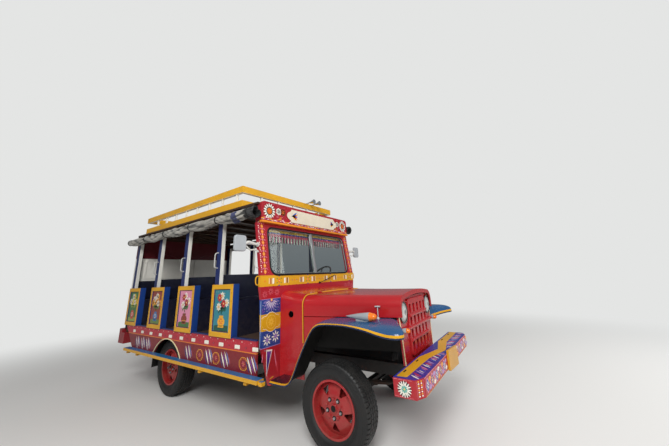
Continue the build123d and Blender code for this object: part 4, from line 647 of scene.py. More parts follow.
# from the middle of the tread to the bead. columns: distance from the middle, radius, in a groove, moves with
# the zigzag, in a shoulder slot, in a sipe
HALF_TREAD = np.array([
    (0.0000, 0.3410, 0, 0, 0, 1), (0.0110, 0.3408, 0, 1, 0, 0), (0.0125, 0.3408, 1, 1, 0, 0),
    (0.0190, 0.3407, 1, 1, 0, 0), (0.0205, 0.3407, 0, 1, 0, 0), (0.0310, 0.3403, 0, 0, 0, 1),
    (0.0410, 0.3399, 0, 1, 0, 0), (0.0425, 0.3398, 1, 1, 0, 0), (0.0490, 0.3394, 1, 1, 0, 0),
    (0.0505, 0.3393, 0, 1, 0, 0), (0.0560, 0.3389, 0, 0, 0, 0), (0.0570, 0.3388, 0, 0, 1, 0),
    (0.0680, 0.3377, 0, 0, 1, 0), (0.0750, 0.3362, 0, 0, 1, 0), (0.0810, 0.3338, 0, 0, 1, 0),
    (0.0860, 0.3300, 0, 0, 1, 0), (0.0885, 0.3262, 0, 0, 0, 0), (0.0915, 0.3200, 0, 0, 0, 0),
    (0.0940, 0.3190, 0, 0, 0, 0), (0.0940, 0.3165, 0, 0, 0, 0), (0.0930, 0.3150, 0, 0, 0, 0),
    (0.0965, 0.3000, 0, 0, 0, 0), (0.0982, 0.2990, 0, 0, 0, 0), (0.0988, 0.2960, 0, 0, 0, 0),
    (0.0975, 0.2950, 0, 0, 0, 0), (0.0985, 0.2750, 0, 0, 0, 0), (0.0980, 0.2600, 0, 0, 0, 0),
    (0.0935, 0.2480, 0, 0, 0, 0), (0.0945, 0.2470, 0, 0, 0, 0), (0.0935, 0.2445, 0, 0, 0, 0),
    (0.0918, 0.2440, 0, 0, 0, 0), (0.0850, 0.2300, 0, 0, 0, 0), (0.0798, 0.2230, 0, 0, 0, 0),
    (0.0798, 0.2032, 0, 0, 0, 0)])


def tyre_surface():
    """The tyre's skin on a grid of pitch steps round it and columns across it. The radius is the profile's,
    less the groove, slot or sipe depth where that step and column are cut; the columns beside a groove sway
    by a triangle wave of one pitch. It also gives how deep each point lies and whether it is on the
    sidewall."""
    steps = np.array([0.0, 0.10, 0.12, 0.30, 0.48, 0.50, 0.56, 0.58, 0.80])
    slotted = np.array([1, 1, 0, 0, 0, 0, 0, 0, 0])
    siped = np.array([0, 0, 0, 0, 0, 1, 1, 0, 0])
    half = np.concatenate([HALF_TREAD[:0:-1] * (-1, 1, 1, 1, 1, 1), HALF_TREAD])
    across, radius, groove, sway, slot, sipe = half.T
    place = np.tile(steps, PITCHES)[:, None] + np.repeat(np.arange(PITCHES), len(steps))[:, None]
    wave = np.abs((place % 1.0) - 0.5) * 4 - 1
    depth = np.maximum(groove * GROOVE, np.tile(slotted, PITCHES)[:, None] * slot * SLOT)
    depth = np.maximum(depth, np.tile(siped, PITCHES)[:, None] * sipe * SLOT)
    r = radius - depth
    y = across + sway * wave * ZIGZAG
    turn = place * 2 * math.pi / PITCHES + np.zeros_like(r)
    surface = np.stack([r * np.sin(turn), y, r * np.cos(turn)], axis=2)
    wall = np.broadcast_to((np.abs(across) > 0.087).astype(float), r.shape)
    return surface, np.stack([depth / GROOVE, wall], axis=2)


rubber, tree, shader = fresh_material("moulded tyre rubber", {})
place = add(tree, "TexCoord").outputs["Object"]
marks = add(tree, "SeparateXYZ", {0: add(tree, "UVMap", uv_map="UVMap")})
# points deeper in a groove, slot or sipe are painted darker: painted shade in the tread's cuts
shade_darkened = add(tree, "Mix", {0: marks.outputs["X"], 6: linear("#191919"), 7: linear("#040405")}, data_type="RGBA")
walled = add(tree, "Mix", {0: marks.outputs["Y"], 6: shade_darkened.outputs[2], 7: linear("#0D0D0E")}, data_type="RGBA")
film = add(tree, "TexNoise", {"Vector": place, "Scale": 9.0, "Detail": 6.0, "Roughness": 0.7})
cover = add(tree, "MapRange", {0: film, 1: 0.45, 2: 0.75, 3: 0.0, 4: 0.16})
dusted = add(tree, "Mix", {0: cover, 6: walled.outputs[2], 7: linear("#4A443C")}, data_type="RGBA")
matt = add(tree, "MapRange", {0: cover, 1: 0.0, 2: 0.16, 3: 0.5, 4: 0.8})
grit = add(tree, "TexNoise", {"Vector": place, "Scale": 160.0, "Detail": 3.0})
skin = add(tree, "Bump", {"Strength": 0.25, "Distance": 0.0005, "Height": grit})
fill(tree, shader, {"Base Color": dusted.outputs[2], "Roughness": matt, "Normal": skin})

surface, marks = tyre_surface()
tyre_faces = net(surface.shape[0], surface.shape[1], wrap_rows=True, wrap_columns=True)
for name, x, y in WHEELS:
    tyre = build("road_tyre_" + name, surface + (x, y, AXLE_Z), tyre_faces, rubber, "tyre",
                 body="wheel_" + name, uv=marks, smooth=0.6)
    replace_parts(tyre, "tyre_" + name)

# Wheels: pressed steel discs in the coach's red, a little dusty. The five nuts are bright zinc, each on a
# thin black disc that is painted shade in its well, and the grease cap has a black end.
NUT_CIRCLE = 0.06985
DISC_FACE = 0.062
wheel_red = enamel("wheel enamel, a little dusty", "#9E1820", dust=0.3, dust_top=0.7, coat=0.35, edge=0.002)
dress(wheel_red, *[name for name in cad if name.startswith("wheel_")])
zinc = underside("zinc plated nuts", "#B9BBBD", 1.0, 0.0, rust_colour="#77716A", dust="#6E665C")
NUT_PROFILE = [(0.0, 0.0), (0.0, 0.0105), (0.0125, 0.0105), (0.0155, 0.0080), (0.0165, 0.0)]
WELL_SHADE_PROFILE = [(-0.001, 0.0), (-0.001, 0.0185), (0.0012, 0.0180), (0.0016, 0.0)]
CAP_PROFILE = [(-0.001, 0.0), (-0.001, 0.0250), (0.0010, 0.0240), (0.0022, 0.0)]


def spun(profile, origin, axis="x", count=32):
    """A profile of distances along an axis and radii, turned about that axis; a radius of 0 closes it."""
    profile = np.asarray(profile, float)
    turn = np.arange(count) * 2 * math.pi / count
    along = np.broadcast_to(profile[:, :1], (len(profile), count))
    u = profile[:, 1:] * np.cos(turn)
    v = profile[:, 1:] * np.sin(turn)
    order = {"x": (along, u, v), "y": (u, along, v), "z": (u, v, along)}[axis]
    grid = np.stack(order, axis=-1) + np.asarray(origin, float)
    return grid, net(len(profile), count, wrap_columns=True)


for name, x, y in WHEELS:
    side = math.copysign(1.0, y)
    spots = [(NUT_CIRCLE * math.sin(turn), NUT_CIRCLE * math.cos(turn))
             for turn in np.arange(5) * 2 * math.pi / 5 + math.pi / 5]
    pieces = {"wheel_nuts_": (NUT_PROFILE, 0.0, 6, spots, zinc, "spring_steel"),
              # under each nut a thin black disc: painted shade in the nut's well
              "wheel_nut_well_shades_": (WELL_SHADE_PROFILE, 0.0, 20, spots, undercoat_and_painted_shade, "black_paint"),
              "hub_cap_end_": (CAP_PROFILE, 0.012, 24, [(0.0, 0.0)], undercoat_and_painted_shade, "black_paint")}
    for label, (profile, out, count, places, paint, slot) in pieces.items():
        turned = [(side * (DISC_FACE + out + along), radius) for along, radius in profile]
        parts = [spun(turned, (x + dx, y, AXLE_Z + dz), "y", count) for dx, dz in places]
        build(label + name, *gather(*parts), paint, slot, body="wheel_" + name, smooth=0.5)


# Painted ornament: sign painter's enamel laid on by hand with small brushes, so each stroke is a thin pad
# of paint with soft edges. The strokes of one face, or of two that meet, are one piece, coloured by its
# attribute Paint.
WHITE = "#ECE7DA"
ORANGE = "#E3701B"
PINK = "#DE7C96"
VIOLET = "#6C3D93"
MARIGOLD = "#E8A32A"
BLACK = "#0B0B0D"
PAINT_THICK = 0.0007
SIDES = 18
round_turn = np.arange(SIDES) * 2 * math.pi / SIDES


def cornered(corners, start):
    """Points evenly round a regular figure with so many corners, from its polar formula."""
    wedge_angle = 2 * math.pi / corners
    reach = math.cos(wedge_angle / 2) / np.cos((round_turn % wedge_angle) - wedge_angle / 2)
    return reach * np.cos(round_turn + start), reach * np.sin(round_turn + start)


def fitted(u, v):
    """Scales an outline to one unit long and one wide, centred."""
    u = (u - u.min()) / (u.max() - u.min()) - 0.5
    v = (v - v.min()) / (v.max() - v.min()) - 0.5
    return np.stack([u, v], axis=1)


STROKES = {
    "dot": fitted(np.cos(round_turn), np.sin(round_turn)),
    "leaf": fitted(np.cos(round_turn), np.sin(round_turn) * np.abs(np.sin(round_turn))),
    "drop": fitted(np.cos(round_turn), np.sin(round_turn) * np.abs(np.sin(round_turn / 2))),
    "bar": fitted(*cornered(4, math.pi / 4)),
    "diamond": fitted(*cornered(4, 0.0)),
    "wedge": fitted(*cornered(3, 0.0)),
}


def brushwork(name, faces_painted, mirrored=True):
    """Makes one piece of strokes. faces_painted lists (rows, origin, axis a, axis b); a row is a stroke's
    place a and b, turn in degrees, length, width, shape, colour and layer. Each stroke is its outline
    scaled, turned and moved on the face's two axes, with its lower rim in the board and its top slightly
    drawn in."""
    points = []
    colours = []
    for rows, origin, axis_a, axis_b in faces_painted:
        axis_a = np.asarray(axis_a, float) / np.linalg.norm(axis_a)
        axis_b = np.asarray(axis_b, float) / np.linalg.norm(axis_b)
        normal = np.cross(axis_a, axis_b)
        number = np.array([[row[0], row[1], math.radians(row[2]), row[3], row[4], row[7]] for row in rows])
        unit = np.stack([STROKES[row[5]] for row in rows])
        flat = unit * number[:, None, 3:5]
        cos, sin = np.cos(number[:, 2])[:, None], np.sin(number[:, 2])[:, None]
        u, v = flat[..., 0], flat[..., 1]
        turned = np.stack([u * cos - v * sin, u * sin + v * cos], axis=2)
        soft = np.minimum(0.0008, 0.25 * number[:, 3:5].min(axis=1))[:, None, None]
        inward = turned * (1 - soft / np.maximum(np.abs(turned).max(axis=1, keepdims=True), 1e-6))
        top = PAINT_THICK * (1 + 0.6 * number[:, 5])
        layers = ((turned, np.full(len(rows), -0.0006)), (inward, top))
        middle = number[:, None, 0:2]
        rings = [np.asarray(origin, float) + (outline + middle)[..., :1] * axis_a
                 + (outline + middle)[..., 1:] * axis_b
                 + height[:, None, None] * normal for outline, height in layers]
        strokes = np.stack(rings, axis=1).reshape(-1, 3)
        tint = np.array([linear(row[6]) for row in rows]).repeat(2 * SIDES, axis=0)
        points += [strokes, mirror(strokes)] if mirrored else [strokes]
        colours += [tint, tint] if mirrored else [tint]
    points = np.vstack(points)
    one = net(2, SIDES, wrap_columns=True, caps=True)
    count = len(points) // (2 * SIDES)
    faces = [[corner + stroke * 2 * SIDES for corner in face] for stroke in range(count) for face in one]
    return build(name, points, faces, sign_enamel, "yellow_paint", paint=np.vstack(colours), smooth=0.5)


def painted(tree, place):
    """The colour that the strokes carry."""
    return add(tree, "Attribute", attribute_name="Paint").outputs["Color"]


sign_enamel = enamel("sign painter's enamel", painted, gloss=0.28, coat=0.3, dust=0.12, edge=0.001)


def petals(a, b, inner, outer, count, width, shape, colour, layer, start=0.0, span=360.0):
    """Strokes set round a point like petals, from an inner to an outer radius."""
    full = span >= 360.0
    turns = start + np.arange(count) * span / (count if full else count - 1)
    reach = (inner + outer) / 2
    return [(a + reach * math.cos(math.radians(t)), b + reach * math.sin(math.radians(t)), t, outer - inner,
             width, shape, colour, layer) for t in turns]


def dot(a, b, across, colour, layer=0):
    """One round dab."""
    return (a, b, 0.0, across, across, "dot", colour, layer)


def scattered(seed, count, low, high, size, colours):
    """Small dabs strewn over a board from a fixed seed."""
    chance = np.random.default_rng(seed)
    places = chance.uniform(low, high, (count, 2))
    return [dot(a, b, size * (0.7 + 0.6 * chance.random()), colours[i % len(colours)], -0.4)
            for i, (a, b) in enumerate(places)]


def ribbon(start, end, b, swing, wave, step, width, colours):
    """A wavy ribbon of short bars in turning colours along a board."""
    a = np.arange(start, end, step)
    height = b + swing * np.sin(2 * math.pi * a / wave)
    slope = np.degrees(np.arctan(swing * 2 * math.pi / wave * np.cos(2 * math.pi * a / wave)))
    return [(x, z, t, step * 1.15, width, "bar", colours[i % len(colours)], 0.2)
            for i, (x, z, t) in enumerate(zip(a, height, slope))]


# Header ornament: a white sun wheel at each end, two small flowers beside it, a bare cream plaque with
# fans of leaves at its ends, and a wavy ribbon over the drip ledge.
HEADER_X = -0.8111
PLAQUE_X = -0.8031
SUN_Y = 0.782
SUN_Z = 2.172
FAN_Z = 2.165
ALONG_Y = (0, 1, 0)
UP = (0, 0, 1)
sun = [dot(-SUN_Y, SUN_Z, 0.166, BLACK, 0)]
sun += petals(-SUN_Y, SUN_Z, 0.044, 0.094, 15, 0.025, "drop", WHITE, 1)
sun += petals(-SUN_Y, SUN_Z, 0.046, 0.080, 15, 0.009, "leaf", BLACK, 2.2, start=12)
sun += [dot(-SUN_Y, SUN_Z, 0.098, BLACK, 3), dot(-SUN_Y, SUN_Z, 0.076, ORANGE, 4)]
sun += petals(-SUN_Y, SUN_Z, 0.008, 0.036, 8, 0.010, "leaf", "#B5481A", 5)
for y, z, first, second in ((-0.634, 2.186, WHITE, BLACK), (-0.560, 2.186, BLACK, ORANGE)):
    sun += petals(y, z, 0.008, 0.046, 7, 0.030, "dot", first, 0)
    sun += petals(y, z, 0.020, 0.040, 7, 0.008, "leaf", second, 0.8)
    sun += [dot(y, z, 0.034, second, 1.5), dot(y, z, 0.016, WHITE if second == BLACK else BLACK, 2.5)]
sun += [(-0.60, 2.112, 12, 0.050, 0.010, "leaf", MARIGOLD, 0),
        (-0.655, 2.118, -15, 0.040, 0.009, "leaf", PINK, 0)]
sun += ribbon(-0.890, 0.001, 2.078, 0.012, 0.220, 0.022, 0.013,
              (MARIGOLD, MARIGOLD, PINK, WHITE, PINK, ORANGE))
sun += ribbon(-0.890, 0.001, 2.064, 0.005, 0.220, 0.022, 0.007, (VIOLET, WHITE, PINK))
sun += scattered(5, 70, (-0.89, 2.095), (-0.50, 2.270), 0.0055, (PINK, "#E2909C"))
sun += scattered(6, 20, (-0.50, 2.255), (0.0, 2.274), 0.0055, (PINK, "#E2909C"))
fans = []
for colour, turn in (("#2F5FB8", 0), (ORANGE, 17), ("#C0392B", -17), ("#2F5FB8", 34), (GOLDEN_YELLOW, -34)):
    for end, way, long in ((-0.405, 1.0, 0.108), (0.512, -1.0, 0.080)):
        tip = math.radians(turn)
        a, b = end + way * long / 2 * math.cos(tip), FAN_Z + long * 0.42 * math.sin(tip)
        fans.append((a, b, turn * way, long, 0.024, "leaf", colour, 0))
fans += [dot(-0.405, FAN_Z, 0.018, BLACK, 1), dot(0.512, FAN_Z, 0.016, BLACK, 1)]
brushwork("header_sun_wheels", [(sun, (HEADER_X, 0, 0), ALONG_Y, UP)])
brushwork("header_plaque_leaves", [(fans, (PLAQUE_X, 0, 0), ALONG_Y, UP)], mirrored=False)

# Front wall ornament: a yellow band with blocks, bars and flowers under the windshield, chains of lozenges up
# the leaning pillars, and below them flower panels in red, blue and yellow down to the step.
WALL_FACE = -0.756
SCREEN_FOOT = 1.438
INDIGO = "#3A2A80"
PALE_VIOLET = "#A98FC8"
DEEP_BLUE = "#1C3F94"
LEAF_GREEN = "#2E7A46"
BODY_CRIMSON = "#B01F2C"
BAND_Z = 1.378
band = []
for flower in (-0.668, -0.175, 0.318, 0.811):
    band += [(flower, z, turn, 0.014, 0.040, "wedge", DEEP_BLUE, 0)
             for z, turn in ((1.427, -90), (1.329, 90))]
    band += [(flower, BAND_Z, 0, 0.030, 0.050, "diamond", ORANGE, 0), dot(flower, BAND_Z, 0.012, WHITE, 1)]
    band += [(flower + side * 0.030, BAND_Z + lift * 0.022, side * lift * 35, 0.026, 0.009, "leaf",
              LEAF_GREEN, 0) for side in (-1, 1) for lift in (-1, 1)]
    for step, width, colour in ((0.088, 0.026, WHITE), (0.118, 0.006, VIOLET), (0.132, 0.011, "#4A1418"),
                                (0.147, 0.006, WHITE), (0.346, 0.006, WHITE), (0.361, 0.011, "#4A1418"),
                                (0.375, 0.006, VIOLET), (0.405, 0.026, WHITE)):
        y = flower + step
        if y < 0.90:
            band.append((y, BAND_Z, 0, width, 0.060, "bar", colour, 0))
    for step, size, colour in ((0.185, 0.008, BODY_CRIMSON), (0.210, 0.012, VIOLET), (0.2465, 0.018, ORANGE),
                               (0.283, 0.012, VIOLET), (0.308, 0.008, BODY_CRIMSON)):
        if flower + step < 0.90:
            band.append(dot(flower + step, BAND_Z, size, colour))
for step, width, colour in ((-0.088, 0.026, WHITE), (-0.118, 0.006, VIOLET), (-0.132, 0.008, BODY_CRIMSON),
                            (-0.147, 0.006, WHITE), (-0.206, 0.016, ORANGE)):
    band.append((-0.668 + step, BAND_Z, 0, width, 0.060 if width != 0.016 else 0.016, "bar", colour, 0))
band += [(y, z, 0, 0.040, 0.003, "bar", ORANGE, 0) for y in np.arange(-0.90, 0.91, 0.06)
         for z in (1.433, 1.323)]
brushwork("front_band_marks", [(band, (WALL_FACE, 0, 0), ALONG_Y, UP)], mirrored=False)

LEAN = math.radians(8.6)
SLOPE_UP = (-math.sin(LEAN), 0, math.cos(LEAN))
PILLAR_Y = -0.868
pillar = []
for k in range(9):
    b = 0.040 + k * 0.064
    pillar += [(PILLAR_Y, b, 90, 0.054, 0.036, "diamond", MARIGOLD, 0),
               (PILLAR_Y, b, 90, 0.030, 0.018, "diamond", ORANGE, 1),
               dot(PILLAR_Y, b, 0.008, WHITE, 2), dot(PILLAR_Y, b + 0.032, 0.016, PINK),
               dot(PILLAR_Y, b + 0.032, 0.008, WHITE, 1)]
    pillar += [(PILLAR_Y + way * 0.026, b + 0.032, -way * 40, 0.030, 0.010, "leaf", PINK, 0)
               for way in (-1, 1)]
    pillar += [dot(-0.919, b, 0.014, WHITE), dot(-0.919, b + 0.022, 0.008, "#7CA6C8"),
               (-0.915, b + 0.043, 60, 0.022, 0.008, "leaf", WHITE, 0)]
pillar += [dot(-0.824, b, 0.006, PINK) for b in np.arange(0.03, 0.60, 0.028)]

panels = scattered(8, 26, (-0.90, 1.21), (-0.66, 1.31), 0.006, ("#D05A68", "#7C101C", "#D05A68"))
for y, z in ((-0.700, 1.258), (-0.790, 1.272), (-0.872, 1.246)):
    panels += petals(y, z, 0.010, 0.040, 8, 0.012, "drop", "#C4505C", 0) + [dot(y, z, 0.014, "#7C101C", 1)]
fan_y, fan_z = -0.777, 1.190
panels += petals(fan_y, fan_z, 0.030, 0.118, 9, 0.018, "leaf", PALE_VIOLET, 0, start=194, span=152)
panels += petals(fan_y, fan_z, 0.038, 0.106, 9, 0.009, "leaf", PANEL_BLUE, 1, start=194, span=152)
panels += petals(fan_y, fan_z, 0.022, 0.088, 8, 0.005, "leaf", WHITE, 2, start=203.5, span=133)
panels += petals(fan_y, fan_z, 0.122, 0.130, 8, 0.008, "dot", WHITE, 0, start=203.5, span=133)
panels += petals(fan_y, fan_z, 0.014, 0.040, 7, 0.010, "drop", VIOLET, 2, start=196, span=148)
panels += [dot(fan_y, fan_z - 0.004, 0.030, MARIGOLD, 3), dot(fan_y, fan_z - 0.004, 0.012, WHITE, 4)]
panels += [(y, 1.100 - lift, turn, 0.050, 0.010, "leaf", VIOLET, 0) for y, lift, turn in
           ((-0.893, 0.0, 60), (-0.883, 0.024, 30), (-0.668, 0.0, -60), (-0.676, 0.024, -30))]
OVAL_Z = 0.972
for y, across in ((-0.777, 0.182), (-0.862, 0.118), (-0.694, 0.118)):
    panels += [dot(y, OVAL_Z, across + 0.008, WHITE, 0), dot(y, OVAL_Z, across, GOLDEN_YELLOW, 1)]
panels += [(-0.782, OVAL_Z, 0, 0.270, 0.112, "bar", GOLDEN_YELLOW, 1.4)]
panels += [dot(-0.777, OVAL_Z, 0.132, "#EDC860", 2), dot(-0.777, OVAL_Z, 0.124, GOLDEN_YELLOW, 2.6)]
panels += petals(-0.777, OVAL_Z, 0.008, 0.048, 8, 0.016, "drop", "#E7B63E", 3.2)
panels += petals(-0.862, OVAL_Z, 0.044, 0.048, 9, 0.016, "bar", "#EDC860", 2, start=110, span=140)
panels += petals(-0.694, OVAL_Z, 0.044, 0.048, 9, 0.016, "bar", "#EDC860", 2, start=-70, span=140)
for y, z in ((-0.828, 0.808), (-0.713, 0.824)):
    panels += petals(y, z, 0.020, 0.058, 8, 0.016, "drop", WHITE, 0) + [dot(y, z, 0.036, PALE_VIOLET, 1)]
    panels += petals(y, z, 0.004, 0.018, 8, 0.006, "leaf", VIOLET, 2)
    panels += petals(y, z, 0.052, 0.060, 8, 0.006, "dot", PALE_VIOLET, 0, start=22.5)
panels += [(-0.782, z, 0, 0.270, 0.005, "bar", PALE_VIOLET, 2) for z in (0.740, 1.196)]
panels += [(-0.921, 0.965, 90, 0.440, 0.005, "bar", "#9DB4DC", 2.4)]
panels += [(-0.812, 0.600, -98, 0.232, 0.084, "wedge", WHITE, 0),
           (-0.812, 0.602, -98, 0.200, 0.060, "wedge", VIOLET, 1),
           (-0.811, 0.612, -98, 0.140, 0.022, "leaf", INDIGO, 2),
           (-0.715, 0.620, -80, 0.170, 0.012, "leaf", PINK, 0),
           (-0.690, 0.540, -82, 0.120, 0.010, "leaf", "#D9505C", 0),
           (-0.884, 0.655, -98, 0.080, 0.010, "leaf", PINK, 0),
           (-0.760, 0.458, 12, 0.060, 0.010, "leaf", MARIGOLD, 0)]
brushwork("front_wall_flowers", [(pillar, (WALL_FACE, 0, SCREEN_FOOT), ALONG_Y, SLOPE_UP),
                                 (panels, (WALL_FACE, 0, 0), ALONG_Y, UP)])

# Skirt ornament: white blocks and beads on the upper board, and on the lower one groups of slanted brush
# strokes between eight-sided medallions; the wheel arch is edged with a cream bead.
SKIRT_Y = -0.930
ALONG_X = (1, 0, 0)
MEDAL_Z = 0.594
ARCH_X = -2.580
ARCH_Z = 0.265
ARCH_R = 0.435
skirt = []
for k in range(11):
    x = -3.655 + k * 0.2845
    skirt += [(x, 0.738, 0, 0.086, 0.040, "bar", WHITE, 0), (x, 0.7225, 0, 0.078, 0.006, "bar", "#D6C79A", 1)]
    skirt += [(x + 0.142, 0.742, 0, 0.044, 0.020, "diamond", "#7E1622", 0),
              dot(x + 0.142, 0.742, 0.008, PINK, 1)]
skirt += [dot(x, 0.790, 0.011, WHITE) for x in np.arange(-3.86, -0.80, 0.142)]
skirt += [dot(x, 0.776, 0.006, PINK) for x in np.arange(-3.82, -0.80, 0.071)]
skirt += [(x, 0.8045, 0, 0.060, 0.004, "bar", "#7E1622", 0) for x in np.arange(-3.86, -0.80, 0.080)]
for x in (-3.480, -3.300, -3.140, -2.040, -1.600, -1.300, -0.860):
    for step, colour, long, wide in ((-0.060, "#3C2C66", 0.150, 0.020), (-0.030, WHITE, 0.170, 0.020),
                                     (0.000, VIOLET, 0.160, 0.016), (0.028, WHITE, 0.160, 0.018),
                                     (0.056, "#5A6FA8", 0.140, 0.018)):
        skirt.append((x + step, 0.600 + step * 0.3, 118, long, wide, "leaf", colour, 0))
    skirt += [(x + 0.086, 0.600, 112, 0.070, 0.010, "leaf", "#B8485A", 0)]
for x in (-1.785, -1.460, -0.985):
    for reach, wide, colour, layer in ((0.056, 0.007, MARIGOLD, 0), (0.044, 0.004, ORANGE, 0)):
        skirt += [(x + reach * 1.15 * math.cos(t), MEDAL_Z + reach * math.sin(t), math.degrees(t) + 90,
                   reach * 0.86, wide, "bar", colour, layer) for t in np.arange(8) * math.pi / 4]
    skirt += petals(x, MEDAL_Z, 0.006, 0.028, 6, 0.012, "leaf", "#C9505E",
                    0) + [dot(x, MEDAL_Z, 0.010, MARIGOLD, 1)]
for rear, front in ((-3.56, -3.03), (-2.08, -0.82)):
    skirt += [(x, 0.497, 0, 0.110, 0.005, "bar", MARIGOLD, 0) for x in np.arange(rear, front, 0.125)]
brushwork("skirt_brush_strokes", [(skirt, (0, SKIRT_Y, 0), ALONG_X, UP)])


def circle(radius, count=12, squash=1.0):
    """Points round a circle or an ellipse."""
    turn = np.arange(count) * 2 * math.pi / count
    return np.stack([radius * np.cos(turn), radius * squash * np.sin(turn)], axis=1)


def carry(path, outline, across=(0.0, 0.0, 1.0), closed=False):
    """Carries an outline along a path. At each point of the path the outline's first number is laid along the
    direction square to the path and to `across`, and its second along the direction square to both."""
    path = np.asarray(path, float)
    outline = np.asarray(outline, float)
    if closed:
        run = np.roll(path, -1, axis=0) - np.roll(path, 1, axis=0)
    else:
        run = np.gradient(path, axis=0)
    run /= np.linalg.norm(run, axis=1, keepdims=True)
    sideways = np.cross(run, np.broadcast_to(np.asarray(across, float), run.shape))
    sideways /= np.linalg.norm(sideways, axis=1, keepdims=True)
    upwards = np.cross(sideways, run)
    shifted = path[:, None] + outline[None, :, :1] * sideways[:, None]
    return shifted + outline[None, :, 1:2] * upwards[:, None]


def tube(path, radius, count=10, across=(0.0, 0.0, 1.0), squash=1.0):
    """A round bar along a path: its points and faces, with flat closed ends."""
    grid = carry(path, circle(radius, count, squash), across)
    return grid, net(len(grid), count, wrap_columns=True, caps=True)


cream = enamel("cream edging enamel", "#E2D3A6", dust=0.2, edge=0.001)
half_span = math.acos((0.485 - ARCH_Z) / ARCH_R)
turn = np.linspace(-half_span, half_span, 60)
arch_line = np.stack([ARCH_X + (ARCH_R + 0.004) * np.sin(turn), np.full(60, SKIRT_Y - 0.001),
                      ARCH_Z + (ARCH_R + 0.004) * np.cos(turn)], axis=1)
bead = tube(arch_line, 0.007, 8, across=(0, 1, 0))
build("wheel_arch_beads", *both_sides(bead), cream, "white_paint")

# Bumper ornament: a sun wheel on each end, beads on the cut corners, a golden chevron strip between the bolt
# slots on top with slanted stripes ahead of it, and blue diamonds with flowers between them on the face.
ROSE = "#E28A94"
BUMPER_TOP = 0.675
BUMPER_FACE = 0.801
BUMPER_END = -0.8475
END_SUN_X = 0.678
END_SUN_Z = 0.611
FACE_Z = 0.613
FLOWER_STEP = 0.0595
wheel_mark = [dot(END_SUN_X, END_SUN_Z, 0.098, "#3C1B3E", 0)]
wheel_mark += petals(END_SUN_X, END_SUN_Z, 0.014, 0.055, 16, 0.013, "drop", WHITE, 1)
wheel_mark += petals(END_SUN_X, END_SUN_Z, 0.026, 0.050, 8, 0.009, "leaf", BLACK, 2.2, start=11.25)
wheel_mark += [dot(END_SUN_X, END_SUN_Z, 0.044, "#A8D0C8", 3)]
wheel_mark += petals(END_SUN_X, END_SUN_Z, 0.004, 0.024, 8, 0.008, "leaf", "#2F8F7A", 4)
wheel_mark += [dot(END_SUN_X, END_SUN_Z, 0.012, "#E8C23A", 5)]
wheel_mark += [(x, z, 0, 0.030, 0.003, "bar", ROSE, 0) for x in np.arange(0.615, 0.750, 0.036)
               for z in (0.668, 0.562)]
CUT = (0.759, -0.8475, 0)
CUT_ALONG = (0.042, 0.084, 0)
cut_marks = [(a, z, 90, 0.009, 0.013, "bar", (WHITE, MARIGOLD)[i % 2], 0)
             for a in (0.032, 0.060) for i, z in enumerate(np.arange(0.573, 0.662, 0.0125))]
cut_marks += [(a, 0.615, 90, 0.105, 0.002, "bar", ROSE, 0) for a in (0.016, 0.078)]
face_marks = []
for k in range(13):
    y = -0.712 + k * 2 * FLOWER_STEP
    if abs(y - 0.045) < 0.19:
        continue
    face_marks += [(y, FACE_Z, 0, 0.104, 0.092, "diamond", PINK, 0),
                   (y, FACE_Z, 0, 0.086, 0.074, "diamond", (DEEP_BLUE, INDIGO)[k % 2], 1)]
    face_marks += petals(y, FACE_Z, 0.006, 0.026, 6, 0.011, "leaf", (WHITE, MARIGOLD)[k % 2], 2)
    face_marks += [dot(y, FACE_Z, 0.012, ("#C02335", WHITE)[k % 2], 3)]
    for lift in (-1, 1):
        face_marks += petals(y + FLOWER_STEP, FACE_Z + lift * 0.046, 0.006, 0.040, 5, 0.010, "leaf",
                             (WHITE, MARIGOLD, PALE_VIOLET)[(k + lift) % 3], 0.5, start=-lift * 140,
                             span=lift * 100)
    face_marks += [dot(y + FLOWER_STEP, FACE_Z, 0.014, ORANGE, 1),
                   dot(y + FLOWER_STEP, FACE_Z, 0.006, WHITE, 2)]
face_marks += [(y, z, 0, 0.034, 0.005, "bar", colour, 0) for y in np.arange(-0.75, 0.76, 0.044)
               for z, colour in ((0.670, ROSE), (0.559, MARIGOLD))]
top_marks = []
for k in range(30):
    y = -0.780 + k * 0.0538
    x = 0.738 + 0.026 * (abs(y - 0.015) < 0.16)
    colour = (WHITE, "#C02335", PALE_VIOLET, "#2A49B0", PINK)[k % 5]
    lean = 35 if y < 0.0 else -35
    if abs(y - 0.015) > 0.09:
        top_marks.append((y, x, lean, 0.016, 0.092, "leaf", colour, 0))
        top_marks.append((y + 0.024, x + 0.006, lean, 0.008, 0.060, "leaf", (ROSE, "#1B2A78", WHITE)[k % 3],
                          0.5))
top_marks += [(y, 0.602, 0, 0.070, 0.010, "bar", "#1D2F9C", 0) for y in np.arange(-0.80, 0.81, 0.075)]
TOP_ORIGIN = (0, 0, BUMPER_TOP)
brushwork("bumper_end_marks",
          [(wheel_mark, (0, BUMPER_END, 0), ALONG_X, UP), (cut_marks, CUT, CUT_ALONG, UP)])
brushwork("bumper_face_marks", [(face_marks, (BUMPER_FACE, 0, 0), ALONG_Y, UP)], mirrored=False)
# on the top the two axes are y and then x, so the strokes' normal would point down; x comes first instead
top_rows = [(x, y, 90 - turn, length, width, shape, colour, layer)
            for y, x, turn, length, width, shape, colour, layer in top_marks]
brushwork("bumper_top_stripes", [(top_rows, TOP_ORIGIN, ALONG_X, ALONG_Y)], mirrored=False)


def plate(outline, origin, axis_a, axis_b, thickness):
    """A flat piece: an outline on two axes from an origin, and the same outline one thickness behind it."""
    outline = np.asarray(outline, float)
    axis_a = np.asarray(axis_a, float)
    axis_b = np.asarray(axis_b, float)
    front = np.asarray(origin, float) + outline[:, :1] * axis_a + outline[:, 1:] * axis_b
    back = front - np.cross(axis_a, axis_b) * thickness
    return np.stack([back, front]), net(2, len(outline), wrap_columns=True, caps=True)


